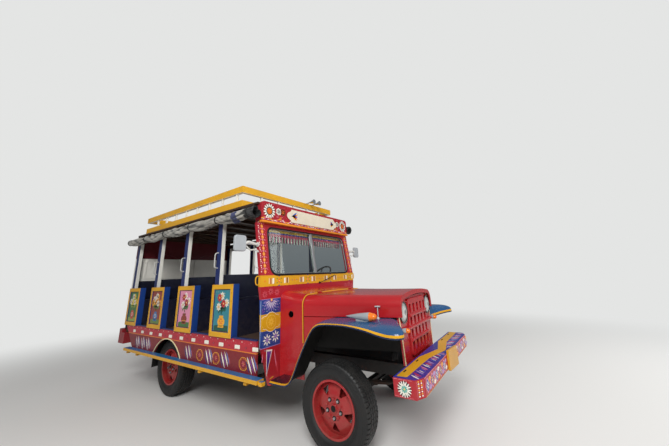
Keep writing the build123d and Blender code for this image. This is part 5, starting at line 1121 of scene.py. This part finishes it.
golden = enamel("golden sign enamel", GOLDEN_YELLOW, dust=0.1, edge=0.001)
CHEVRON_Y = 0.015
chevron = []
for way in (-1.0, 1.0):
    outline = np.array([(0.614, 0.830), (0.690, 0.824), (0.700, 0.315), (0.764, 0.004), (0.690, 0.004),
                        (0.612, 0.315)])
    outline = outline * (1, way) + (0, CHEVRON_Y)
    chevron.append(plate(outline[::int(way)], (0, 0, BUMPER_TOP + 0.0012), ALONG_X, ALONG_Y, 0.0018))
build("bumper_top_chevron", *gather(*chevron), golden, "yellow_paint")
# black plates on the bumper's top: painted shade in the bolt slots
slots = [plate(np.array([(-0.006, -0.026), (0.006, -0.030), (0.006, 0.026), (-0.006, 0.030)]) + (0.632, y),
               (0, 0, BUMPER_TOP + 0.0018), ALONG_X, ALONG_Y, 0.0012) for y in (-0.695, -0.411, 0.411, 0.695)]
build("bumper_slot_shadows", *gather(*slots), undercoat_and_painted_shade, "black_paint")


# Side curtains: silver-grey tarpaulin, one sheet a side, rolled up and strapped under the roof's edge.
# Between the straps the roll sags and swells into slanted folds; a stretch near the front is blue, the
# end is black.
TIES = [-0.925, -1.530, -2.170, -2.900, -3.560, -4.200]
ROLL_END = -0.794
ROLL_Y = 0.9873
ROLL_Z = 2.145
TIED_R = 0.043
SLACK = 0.016
SAG = 0.018
ROLL_TURNS = 1.7
TURN_SHRINK = 0.12
CLOTH = 0.0022
OVAL = 1.06
STRAP_R = TIED_R + 0.0045
STRAP_POINTS = 28


def rolled_sheet(seed, count=380, round_count=82):
    """A rolled sheet on a grid of places along it and angles round it. The radius is the strapped one plus a
    half-sine swell between straps and a sum of slanted waves, each with its own wave numbers and phase;
    every inner turn is the same shape drawn in by a fixed share, so the turns never cross."""
    chance = np.random.default_rng(seed)
    along = np.linspace(ROLL_END, TIES[-1], count)
    knots = np.array(TIES)[::-1]
    span = np.clip(np.searchsorted(knots, along, side="right") - 1, 0, len(knots) - 2)
    share = (along - knots[span]) / (knots[span + 1] - knots[span])
    swell = np.where(along > TIES[0], ((along - TIES[0]) / (ROLL_END - TIES[0])).clip(0, 1) ** 0.7,
                     np.sin(math.pi * share.clip(0, 1)) ** 0.8)
    angle = np.linspace(0.0, ROLL_TURNS * 2 * math.pi, round_count)
    s, phi = along[:, None], angle[None, :]
    fold = np.zeros((count, round_count))
    for lobes, slant, depth in ((2, 13.0, 0.0078), (3, 19.0, 0.0072), (4, -15.0, 0.0056), (5, 24.0, 0.0050),
                                (7, -18.0, 0.0036), (9, 31.0, 0.0026), (12, -20.0, 0.0016)):
        phase, drift = chance.uniform(0, 2 * math.pi, 2)
        wander = np.sin(s * (slant * 0.31 + 2.0) + drift) * 1.2
        wave = np.sin((lobes * phi + slant * s) / 2 + phase + wander)
        fold += depth * (2 * np.abs(wave) - 1.25) * (0.6 + 0.4 * np.sin(s * 5.1 + drift * 2))
    pleat = 0.0034 * (np.abs(np.sin(5 * phi + 3.0 * np.sin(4.0 * s))) - 0.6) * (1 - swell[:, None])
    radius = TIED_R + SLACK * swell[:, None] + fold * (0.2 + 0.8 * swell[:, None]) + pleat
    radius = radius * (1 - TURN_SHRINK * (ROLL_TURNS - phi / (2 * math.pi)))
    start = math.radians(250) - angle[-1]
    y = ROLL_Y + radius * np.cos(phi + start)
    z = ROLL_Z - SAG * swell[:, None] + radius * np.sin(phi + start) * OVAL
    # how far each point lies down a fold, kept to paint shade into the creases
    crease = np.clip((fold + pleat) / 0.020 + 0.5, 0.0, 1.0)
    return np.stack([np.broadcast_to(s, y.shape), y, z], axis=2), crease


tarp, tree, shader = fresh_material("woven tarpaulin, silver grey", {"Roughness": 0.62, "Sheen Weight": 0.2})
place = add(tree, "TexCoord").outputs["Object"]
stain = add(tree, "TexNoise", {"Vector": place, "Scale": 5.5, "Detail": 7.0, "Roughness": 0.7})
tone = add(tree, "MapRange", {0: stain, 1: 0.3, 2: 0.72, 3: 0.0, 4: 1.0})
grey = add(tree, "Mix", {0: tone, 6: linear("#77736B"), 7: linear("#B9B5AB")}, data_type="RGBA")
# Each point is painted darker the deeper it lies in a fold, down to a tenth of the cloth's colour: painted
# shade in the creases.
hollow = add(tree, "SeparateXYZ", {0: add(tree, "UVMap", uv_map="UVMap")}).outputs["X"]
shade = add(tree, "MapRange", {0: hollow, 1: 0.12, 2: 0.62, 3: 0.10, 4: 1.0})
grey = add(tree, "Mix", {0: 1.0, 6: grey.outputs[2], 7: shade}, data_type="RGBA", blend_type="MULTIPLY")
x_place = add(tree, "SeparateXYZ", {0: place}).outputs["X"]
edge_noise = add(tree, "Math", {0: stain, 1: 0.35, 2: x_place}, operation="MULTIPLY_ADD")
bands = add(tree, "MapRange", {0: edge_noise, 1: 0.40, 2: 1.20, 3: 0.0, 4: 1.0})
ramp = add(tree, "ValToRGB", {0: bands},
           stops=[(0.0, "#FFFFFF"), (0.34, "#4653A8"), (0.50, "#FFFFFF"), (0.64, "#131314")])
ramp.color_ramp.interpolation = "CONSTANT"
cloth_tone = add(tree, "Mix", {0: 1.0, 6: grey.outputs[2], 7: ramp}, data_type="RGBA",
                 blend_type="MULTIPLY")
# the tape weave is 2 mm wide on the real sheet and is drawn at 6 mm, the finest that shows from the camera
weave = add(tree, "TexWave", {"Vector": place, "Scale": 26.0, "Distortion": 0.6}, bands_direction="X")
crease = add(tree, "TexNoise", {"Vector": place, "Scale": 34.0, "Detail": 6.0, "Roughness": 0.65})
mixed = add(tree, "Math", {0: crease, 1: 5.0, 2: weave}, operation="MULTIPLY_ADD")
wrinkle = add(tree, "Bump", {"Strength": 0.6, "Distance": 0.0012, "Height": mixed})
fill(tree, shader, {"Base Color": cloth_tone.outputs[2], "Normal": wrinkle})


def closed_sheet(face, thickness):
    """A sheet with both its sides: the face, the same face a thickness behind it, and the edge round both."""
    other = back_of(face, thickness, upward=(0.0, 1.0, 1.0))
    loop = np.concatenate([face, other[:, ::-1]], axis=1)
    return loop, net(len(loop), loop.shape[1], wrap_columns=True) + end_strips(*face.shape[:2])


def end_strips(rows, columns):
    """Narrow faces that close the two ends of a doubled sheet."""
    width = 2 * columns
    near = np.arange(columns - 1)
    strips = []
    for row in (0, rows - 1):
        base = row * width
        quads = np.stack([base + near, base + near + 1, base + width - 2 - near, base + width - 1 - near],
                         axis=1)
        strips += quads.tolist()
    return strips


strap_black = underside("black webbing", "#131314", 0.0, 0.0, rust_colour="#131314")
for side, name in ((-1.0, "right"), (1.0, "left")):
    face, crease = rolled_sheet(11 if side < 0 else 12)
    sheet_grid, faces = closed_sheet(face, CLOTH)
    crease = np.concatenate([crease, crease[:, ::-1]], axis=1)
    if side < 0:
        sheet_grid = mirror(sheet_grid)
    roll = build("rolled_curtain_" + name, sheet_grid, faces, tarp, "canvas", smooth=1.1,
                 uv=np.stack([crease, crease], axis=2))
    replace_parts(roll, "tarp_rolls")
    straps = []
    for x in TIES:
        band_x = max(x, TIES[-1] + 0.012)
        turn = np.arange(STRAP_POINTS) * 2 * math.pi / STRAP_POINTS
        ring = np.stack([np.full(STRAP_POINTS, band_x), side * ROLL_Y + STRAP_R * np.cos(turn),
                         ROLL_Z + STRAP_R * OVAL * np.sin(turn)], axis=1)
        strap = carry(ring,
                      np.array([(-0.0015, -0.011), (0.0015, -0.011), (0.0015, 0.011), (-0.0015, 0.011)]),
                      across=(1, 0, 0), closed=True)
        straps.append((strap, net(STRAP_POINTS, 4, wrap_rows=True, wrap_columns=True)))
    build("curtain_straps_" + name, *gather(*straps), strap_black, "canvas")

# Windshield valance: a strip of pleated cotton in yellow, blue and rose on a thin rod behind the glass,
# with a fringe of twisted tassels, black between white and pink ones.
VALANCE_X = -0.887
VALANCE_HALF = 0.780
VALANCE_TOP = 1.994
VALANCE_FOOT = 1.888
FRINGE_FOOT = 1.806
PLEAT = 0.052
COTTON = 0.0012
TASSELS = 118
TASSEL_ROWS = 7
TASSEL_SIDES = 6
cotton, tree, shader = fresh_material("pleated cotton valance", {"Roughness": 0.9, "Sheen Weight": 0.4})
place = add(tree, "TexCoord").outputs["Object"]
stripes = by_height([(1.80, "#B93350"), (1.921, "#23409A"), (1.938, "#FFCE45")])(tree, place)
# the weave of 0.5 mm threads is drawn at 3 mm, the finest that shows
thread = add(tree, "TexNoise", {"Vector": place, "Scale": 330.0, "Detail": 2.0})
woven = add(tree, "Bump", {"Strength": 0.4, "Distance": 0.0005, "Height": thread})
fill(tree, shader, {"Base Color": stripes, "Normal": woven})

across = np.linspace(-VALANCE_HALF, VALANCE_HALF, 420)[:, None]
down = np.linspace(0.0, 1.0, 16)[None, :]
pleats = np.sin(across * 2 * math.pi / PLEAT + 1.3 * np.sin(across * 9.0)) * (0.0025 + 0.0040 * down)
hem = VALANCE_FOOT + 0.004 * np.sin(across * 2 * math.pi / (2 * PLEAT))
face = np.stack([VALANCE_X + pleats, np.broadcast_to(across, pleats.shape), VALANCE_TOP
                 + (hem - VALANCE_TOP) * down],
                axis=2)
sheet_grid, faces = closed_sheet(face, COTTON)
valance = build("windshield_valance", sheet_grid, faces, cotton, "canvas", smooth=1.2)

strand = np.arange(TASSELS)
sway = np.random.default_rng(3)
roots = -VALANCE_HALF + 0.008 + strand * (2 * VALANCE_HALF - 0.016) / (TASSELS - 1)
fall = np.linspace(0.0, 1.0, TASSEL_ROWS)
ring = np.arange(TASSEL_SIDES) * 2 * math.pi / TASSEL_SIDES
wide = np.array([0.0030, 0.0062, 0.0050, 0.0058, 0.0054, 0.0040, 0.0008])
lean = sway.uniform(-0.006, 0.006, (TASSELS, 1, 1)) * fall[None, :, None] ** 2
long = sway.uniform(0.94, 1.0, (TASSELS, 1, 1))
y = roots[:, None, None] + lean + wide[None, :, None] * np.cos(ring)
x = VALANCE_X + 0.004 * np.sin(strand * 1.7)[:, None, None] + 0.8 * wide[None, :, None] * np.sin(ring)
z = VALANCE_FOOT + 0.004 + (FRINGE_FOOT - VALANCE_FOOT) * long * fall[None, :, None] + 0 * y
tassels = np.stack([x + 0 * y, y, z], axis=3).reshape(-1, 3)
one = net(TASSEL_ROWS, TASSEL_SIDES, wrap_columns=True, caps=True)
each = TASSEL_ROWS * TASSEL_SIDES
faces = [[corner + k * each for corner in face_row] for k in range(TASSELS) for face_row in one]
tints = [linear(code) for code in ("#151216", WHITE, "#151216", PINK)]
tint = np.array([tints[k % 4] for k in range(TASSELS)]).repeat(each, axis=0)
yarn = enamel("twisted cotton yarn", painted, gloss=0.95, coat=0.0, dust=0.0, edge=0.001)
fringe = build("windshield_fringe", tassels, faces, yarn, "canvas", paint=tint, smooth=1.2)
rod_line = np.stack([np.full(9, -0.9020), np.linspace(-0.815, 0.815, 9), np.full(9, VALANCE_TOP - 0.004)],
                    axis=1)
rod = build("valance_rod", *tube(rod_line, 0.0045, 10), chrome, "chrome")


# Seat end pictures: small boards let into the golden frames, each with a ground colour of its own, a vase and
# a bunch of flowers in the folk manner, inside a dark red line.
POSTS_X = [-1.610, -2.418, -3.226, -4.034]
PICTURE_Y = -0.935
PICTURE_LOW = 0.862
PICTURE_HIGH = 1.3145
BOARD_REAR = 0.050
BOARD_FRONT = 0.365
BOARD_MID = 0.2075
VASE_FLOWER_Z = 0.972
# columns: ground, vase, leaves, first flower, second flower, heart, number of flowers, first angle
PICTURES = [("#2F7F8C", "#E3A127", "#174F3B", "#E9E2D0", "#C4303A", MARIGOLD, 5, 40.0),
            ("#D98AA6", "#7A3B1E", "#3E6A34", "#F0E4DA", "#A92B3C", MARIGOLD, 5, 46.0),
            ("#8C3A30", "#3D6FA3", "#5E7A3A", "#E7A23A", "#EADFD0", "#5B1620", 7, 34.0),
            ("#2F6B3B", "#C9442E", "#8DA046", "#F0D24A", "#E8E2D2", "#8A2A30", 6, 38.0)]
pictures = []
grounds = []
ground_tints = []
for x0, (ground, vase, leaf, first, second, heart, count, begin) in zip(POSTS_X, PICTURES):
    mid = x0 + BOARD_MID
    rear, front = x0 + BOARD_REAR, x0 + BOARD_FRONT
    board = [(rear, PICTURE_LOW), (front, PICTURE_LOW), (front, PICTURE_HIGH), (rear, PICTURE_HIGH)]
    grounds.append(plate(board, (0, PICTURE_Y - 0.0012, 0), ALONG_X, UP, 0.0014))
    ground_tints += [linear(ground)] * 8
    rows = [(mid, 0.897, 0, 0.262, 0.066, "bar", leaf, -0.5), (mid, 0.916, 0, 0.110, 0.022, "bar", vase, 0),
            (mid, 0.965, 0, 0.136, 0.096, "dot", vase, 0), (mid, 1.020, 0, 0.078, 0.022, "bar", vase, 1),
            (mid, 0.945, 0, 0.104, 0.008, "bar", heart, 1)]
    rows += petals(mid, VASE_FLOWER_Z, 0.014, 0.034, 6, 0.014, "leaf", second, 2)
    for k in range(count):
        inner_row = k % 3 == 1
        turn = math.radians(begin + k * (180 - 2 * begin) / (count - 1))
        reach = 0.135 if inner_row else 0.205
        a, b = mid + reach * 0.56 * math.cos(turn), 1.035 + reach * math.sin(turn)
        rows.append(((a + mid) / 2, (b + 1.03) / 2, math.degrees(turn), reach * 0.96, 0.008, "leaf", leaf, 0))
        rows += [((a + mid) / 2 + way * 0.026, (b + 1.05) / 2, math.degrees(turn) + way * 40, 0.075, 0.026,
                  "leaf", leaf, 0.5) for way in (-1, 1)]
        petal = (first, second)[k % 2]
        rows += petals(a, b, 0.010, 0.048, 8, 0.026, "drop", petal, 1 + k * 0.8)
        rows += [dot(a, b, 0.026, heart, 2 + k * 0.8), dot(a, b, 0.010, first, 2.6 + k * 0.8)]
    for a, b, long, turn in ((mid, PICTURE_LOW + 0.006, 0.302, 0), (mid, PICTURE_HIGH - 0.006, 0.302, 0),
                             (x0 + 0.056, 1.088, 0.440, 90), (x0 + 0.359, 1.088, 0.440, 90)):
        rows.append((a, b, turn, long, 0.008, "bar", "#4A0F18", 1))
    rows += [dot(x0 + 0.075 + (k * 0.047) % 0.27, 1.26 + (k * 0.031) % 0.04, 0.007, heart, 0)
             for k in range(9)]
    pictures += rows
build("seat_end_picture_boards", *both_sides(*grounds), sign_enamel, "painted_wood",
      paint=np.array(ground_tints * 2))
brushwork("seat_end_flower_pictures", [(pictures, (0, PICTURE_Y - 0.0012, 0), ALONG_X, UP)])
frames = []
for x0 in POSTS_X:
    for x, z in ((x0 + 0.026, z) for z in np.arange(0.84, 1.36, 0.0865)):
        frames.append((x, z, 90, 0.030, 0.010, "leaf", "#C0701C", 0))
        frames.append((x + 0.363, z, 90, 0.030, 0.010, "leaf", "#C0701C", 0))
brushwork("seat_end_frame_marks", [(frames, (0, -0.945, 0), ALONG_X, UP)])

# Windshield fittings: a black rubber gasket round both panes with a grey inner bead, a silver bar between the
# panes, and one parked wiper of black steel on the driver's side.
PANE_HALF = 0.789
PANE_LOW = 0.004
PANE_HIGH = 0.548
SLOPE_NORMAL = (math.cos(LEAN), 0, math.sin(LEAN))


def on_slope(y, height, out=0.0):
    """A point on the leaning front: across, up the slope from its foot, and out from it."""
    y, height = np.broadcast_arrays(np.asarray(y, float), np.asarray(height, float))
    base = np.stack([WALL_FACE + height * SLOPE_UP[0], y, SCREEN_FOOT + height * SLOPE_UP[2]], axis=-1)
    return base + np.asarray(SLOPE_NORMAL) * out


def round_frame(half, low, high, foot_radius, head_radius, count=9):
    """A rectangle with rounded corners, as places across and up, in order round it."""
    turn = np.linspace(0.0, math.pi / 2, count)
    corners = []
    for centre_y, centre_h, radius, start in (
            (half - head_radius, high - head_radius, head_radius, 0.0),
            (-half + head_radius, high - head_radius, head_radius, 0.5),
            (-half + foot_radius, low + foot_radius, foot_radius, 1.0),
            (half - foot_radius, low + foot_radius, foot_radius, 1.5)):
        angle = turn + start * math.pi
        corners.append(np.stack([centre_y + radius * np.cos(angle), centre_h + radius * np.sin(angle)],
                                axis=1))
    return np.vstack(corners)


black_rubber = underside("black rubber seal", "#0C0C0D", 0.0, 0.0, rust_colour="#0C0C0D", dust="#2A2724")
dull_silver = underside("dull aluminium trim", "#AEB1B3", 0.9, 0.0, rust_colour="#85878A", dust="#8C8A86")
ring = round_frame(PANE_HALF, PANE_LOW, PANE_HIGH, 0.094, 0.076)
seal = carry(on_slope(ring[:, 0], ring[:, 1], 0.001), circle(0.011, 10, 0.75), across=SLOPE_NORMAL,
             closed=True)
build("windshield_gasket", seal, net(len(ring), 10, wrap_rows=True, wrap_columns=True), black_rubber,
      "black_paint")
ring = round_frame(PANE_HALF - 0.012, PANE_LOW + 0.012, PANE_HIGH - 0.012, 0.082, 0.064)
trim = carry(on_slope(ring[:, 0], ring[:, 1], -0.003), circle(0.0045, 8), across=SLOPE_NORMAL, closed=True)
build("windshield_inner_trim", trim, net(len(ring), 8, wrap_rows=True, wrap_columns=True), dull_silver,
      "chrome")
bar_line = on_slope(np.zeros(6), np.linspace(0.006, 0.546, 6), 0.0)
bar_outline = [(-0.017, -0.006), (-0.017, 0.002), (-0.010, 0.006), (0.010, 0.006), (0.017, 0.002),
               (0.017, -0.006)]
bar = carry(bar_line, bar_outline, across=SLOPE_NORMAL)
build("windshield_centre_bar", bar, net(6, 6, wrap_columns=True, caps=True), dull_silver, "chrome")
arm = soften([(-0.752, 0.060, 1.326), (-0.738, 0.072, 1.329), (-0.738, 0.200, 1.360),
              (-0.741, 0.300, 1.384)], 2)
blade = np.array([(-0.7475, 0.150, 1.347), (-0.7475, 0.290, 1.3815), (-0.7475, 0.420, 1.4135)])
boss = spun([(0.0, 0.0), (0.0, 0.014), (0.010, 0.012), (0.016, 0.006), (0.017, 0.0)],
            (-0.7565, 0.060, 1.326), "x", 16)
wiper = gather(tube(arm, 0.004, 8), tube(blade, 0.0055, 8, squash=0.5), boss)
build("wiper", *wiper, black_rubber, "black_paint")

# Piping: a gold painted bead where the bonnet meets the cowl, down each side to the wing, and a cream bead on
# the edge of the radiator shell.
BONNET_REAR = -0.459
shoulder = np.linspace(0.0, math.pi / 2, 7)
half_seam = np.vstack([[(0.617, 0.762), (0.617, 0.950), (0.617, 1.118)],
                       np.stack([0.517 + 0.100 * np.cos(shoulder), 1.118 + 0.100 * np.sin(shoulder)], axis=1),
                       [(0.430, 1.2205), (0.300, 1.2245), (0.150, 1.2265), (0.0, 1.2275)]])
seam = np.vstack([half_seam, half_seam[-2::-1] * (-1, 1)])
seam = np.concatenate([np.full((len(seam), 1), BONNET_REAR), seam], axis=1)
build("bonnet_seam_bead", *tube(soften(seam, 1), 0.0055, 10, across=(1, 0, 0)), golden, "yellow_paint")
shell_edge = np.array([(0.528, 0.408, 0.625), (0.528, 0.434, 0.930), (0.528, 0.447, 0.962),
                       (0.528, 0.447, 1.088), (0.528, 0.384, 1.172)])
bead = tube(soften(shell_edge, 2), 0.0045, 8, across=(1, 0, 0))
build("radiator_shell_beads", *both_sides(bead), cream, "white_paint")

# Bonnet latches: polished spring rods with a cross handle, standing on the wings beside the bonnet. Grab
# handles: bent rods on the posts and pillars, white, and a golden one beside the band.
latch = [tube(np.array([(0.352, -0.508, 1.004), (0.352, -0.507, 1.050), (0.352, -0.504, 1.104)]), 0.0045, 10),
         tube(np.array([(0.326, -0.504, 1.106), (0.352, -0.504, 1.108), (0.378, -0.504, 1.106)]), 0.0065, 10),
         spun([(0.0, 0.0), (0.0, 0.016), (0.006, 0.014), (0.014, 0.007), (0.015, 0.0)],
              (0.352, -0.508, 1.004), "z", 16)]
polished = underside("polished latch steel", "#D5D7D8", 0.75, 0.0, rust_colour="#B9B9B7", dust="#A8A6A0")
build("bonnet_latches", *both_sides(*latch), polished, "chrome")
white = enamel("white enamel on bent rod", "#C9C8C2", dust=0.05, edge=0.001)
handles = []
for x, y, low, high, out in ((-1.572, -0.912, 1.560, 1.745, 0.050), (-2.380, -0.912, 1.560, 1.745, 0.050),
                             (-3.188, -0.912, 1.560, 1.745, 0.050), (-0.806, -0.928, 1.520, 1.690, 0.042)):
    line = [(x, y, high), (x, y - out, high - 0.004), (x, y - out, (low + high) / 2),
            (x, y - out, low + 0.004), (x, y, low)]
    handles.append(tube(soften(line, 3), 0.0065, 10, across=(1, 0, 0)))
build("post_grab_handles", *both_sides(*handles), white, "white_paint")
line = [(-0.776, -0.926, 1.432), (-0.776, -0.982, 1.432), (-0.776, -0.982, 1.345), (-0.776, -0.926, 1.345)]
loop = tube(soften(line, 2), 0.006, 10, across=(1, 0, 0))
build("wall_grab_handles", *both_sides(loop), golden, "yellow_paint")

# Mirror brackets: white enamelled steel, a thick and a thin bent tube from the pillar to each mirror
# head, and a round foot on the pillar.
MIRROR_X = -0.812
stay_paths = [(0.016, 12, [(-1.100, 1.768), (-1.060, 1.790), (-1.010, 1.775), (-0.960, 1.768)]),
              (0.008, 10, [(-1.090, 1.745), (-1.040, 1.700), (-0.985, 1.712), (-0.932, 1.700)])]
bracket = [tube(soften([(MIRROR_X, y, z) for y, z in path], 2), radius, count, across=(1, 0, 0))
           for radius, count, path in stay_paths]
foot = [(0.0, 0.0), (0.0, 0.026), (0.010, 0.024), (0.014, 0.0)]
bracket.append(spun(foot, (MIRROR_X, -0.945, 1.768), "y", 18))
build("mirror_brackets", *both_sides(*bracket), white, "white_paint")

# Sills: a batten of navy painted wood along the deck's edge in every doorway, screwed down, where shoes wear
# the paint.
battens = [plate([(x0 + 0.417, 0.8105), (x1, 0.8105), (x1, 0.826), (x0 + 0.417, 0.826)], (0, -0.929, 0),
                 ALONG_X, UP, 0.022)
           for x0, x1 in zip(POSTS_X, (-0.800, -1.612, -2.420, -3.228))]
build("doorway_sills", *both_sides(*battens), enamel("navy sill enamel", NAVY, grain=ALONG, dust=0.3),
      "navy_paint")

# Mud flaps: plain sheets of black rubber belting behind the rear wheels, hung from the deck by their upper
# edge.
flap = plate([(0.600, 0.300), (0.885, 0.300), (0.885, 0.775), (0.600, 0.775)], (-3.046, 0, 0), ALONG_Y, UP,
             0.006)
build("mud_flaps", *both_sides(flap), black_rubber, "black_paint")

# Rear wall ornament: hidden in the view, finished in the manner of the front with a large sun wheel, a yellow
# band and flowers.
REAR_X = -4.0740
REAR_SUN_Z = 1.500
back = [dot(0, REAR_SUN_Z, 0.560, DEEP_BLUE, 0)] + petals(0, REAR_SUN_Z, 0.150, 0.270, 24, 0.050, "drop",
                                                          WHITE, 1)
back += petals(0, REAR_SUN_Z, 0.100, 0.190, 24, 0.030, "leaf", ORANGE, 2, start=7.5)
back += [dot(0, REAR_SUN_Z, 0.230, BLACK, 3), dot(0, REAR_SUN_Z, 0.205, GOLDEN_YELLOW, 4)]
back += petals(0, REAR_SUN_Z, 0.020, 0.088, 12, 0.030, "leaf", BODY_CRIMSON,
               5) + [dot(0, REAR_SUN_Z, 0.040, WHITE, 6)]
back += petals(0, REAR_SUN_Z, 0.300, 0.318, 48, 0.018, "dot", MARIGOLD, 0)
for a in (-0.700, 0.700):
    back += petals(a, 1.820, 0.020, 0.110, 12, 0.040, "drop", WHITE, 0)
    back += [dot(a, 1.820, 0.080, ORANGE, 1), dot(a, 1.820, 0.040, BLACK, 2)]
    back += petals(a, 1.180, 0.016, 0.090, 10, 0.036, "drop", PALE_VIOLET,
                   0) + [dot(a, 1.180, 0.060, MARIGOLD, 1)]
    back += [(a + way * 0.130, z, 90 + way * 30, 0.130, 0.034, "leaf", LEAF_GREEN, 0) for way in (-1, 1)
             for z in (1.76, 1.13)]
back += [(0, 0.930, 0, 1.780, 0.110, "bar", GOLDEN_YELLOW, 0)]
back += [(a, 0.930, 0, 0.026, 0.070, "bar", (WHITE, VIOLET, BODY_CRIMSON)[k % 3], 1)
         for k, a in enumerate(np.arange(-0.84, 0.85, 0.070))]
for z, swing, wide in ((2.100, 0.014, 0.016), (0.810, 0.010, 0.014)):
    back += ribbon(-0.880, 0.881, z, swing, 0.220, 0.044, wide, (MARIGOLD, PINK, WHITE, ORANGE))
brushwork("rear_wall_sun_wheel", [(back, (REAR_X, 0, 0), (0, -1, 0), UP)], mirrored=False)

# The finished model's box, over every shown piece but the backdrop.
low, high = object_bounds()
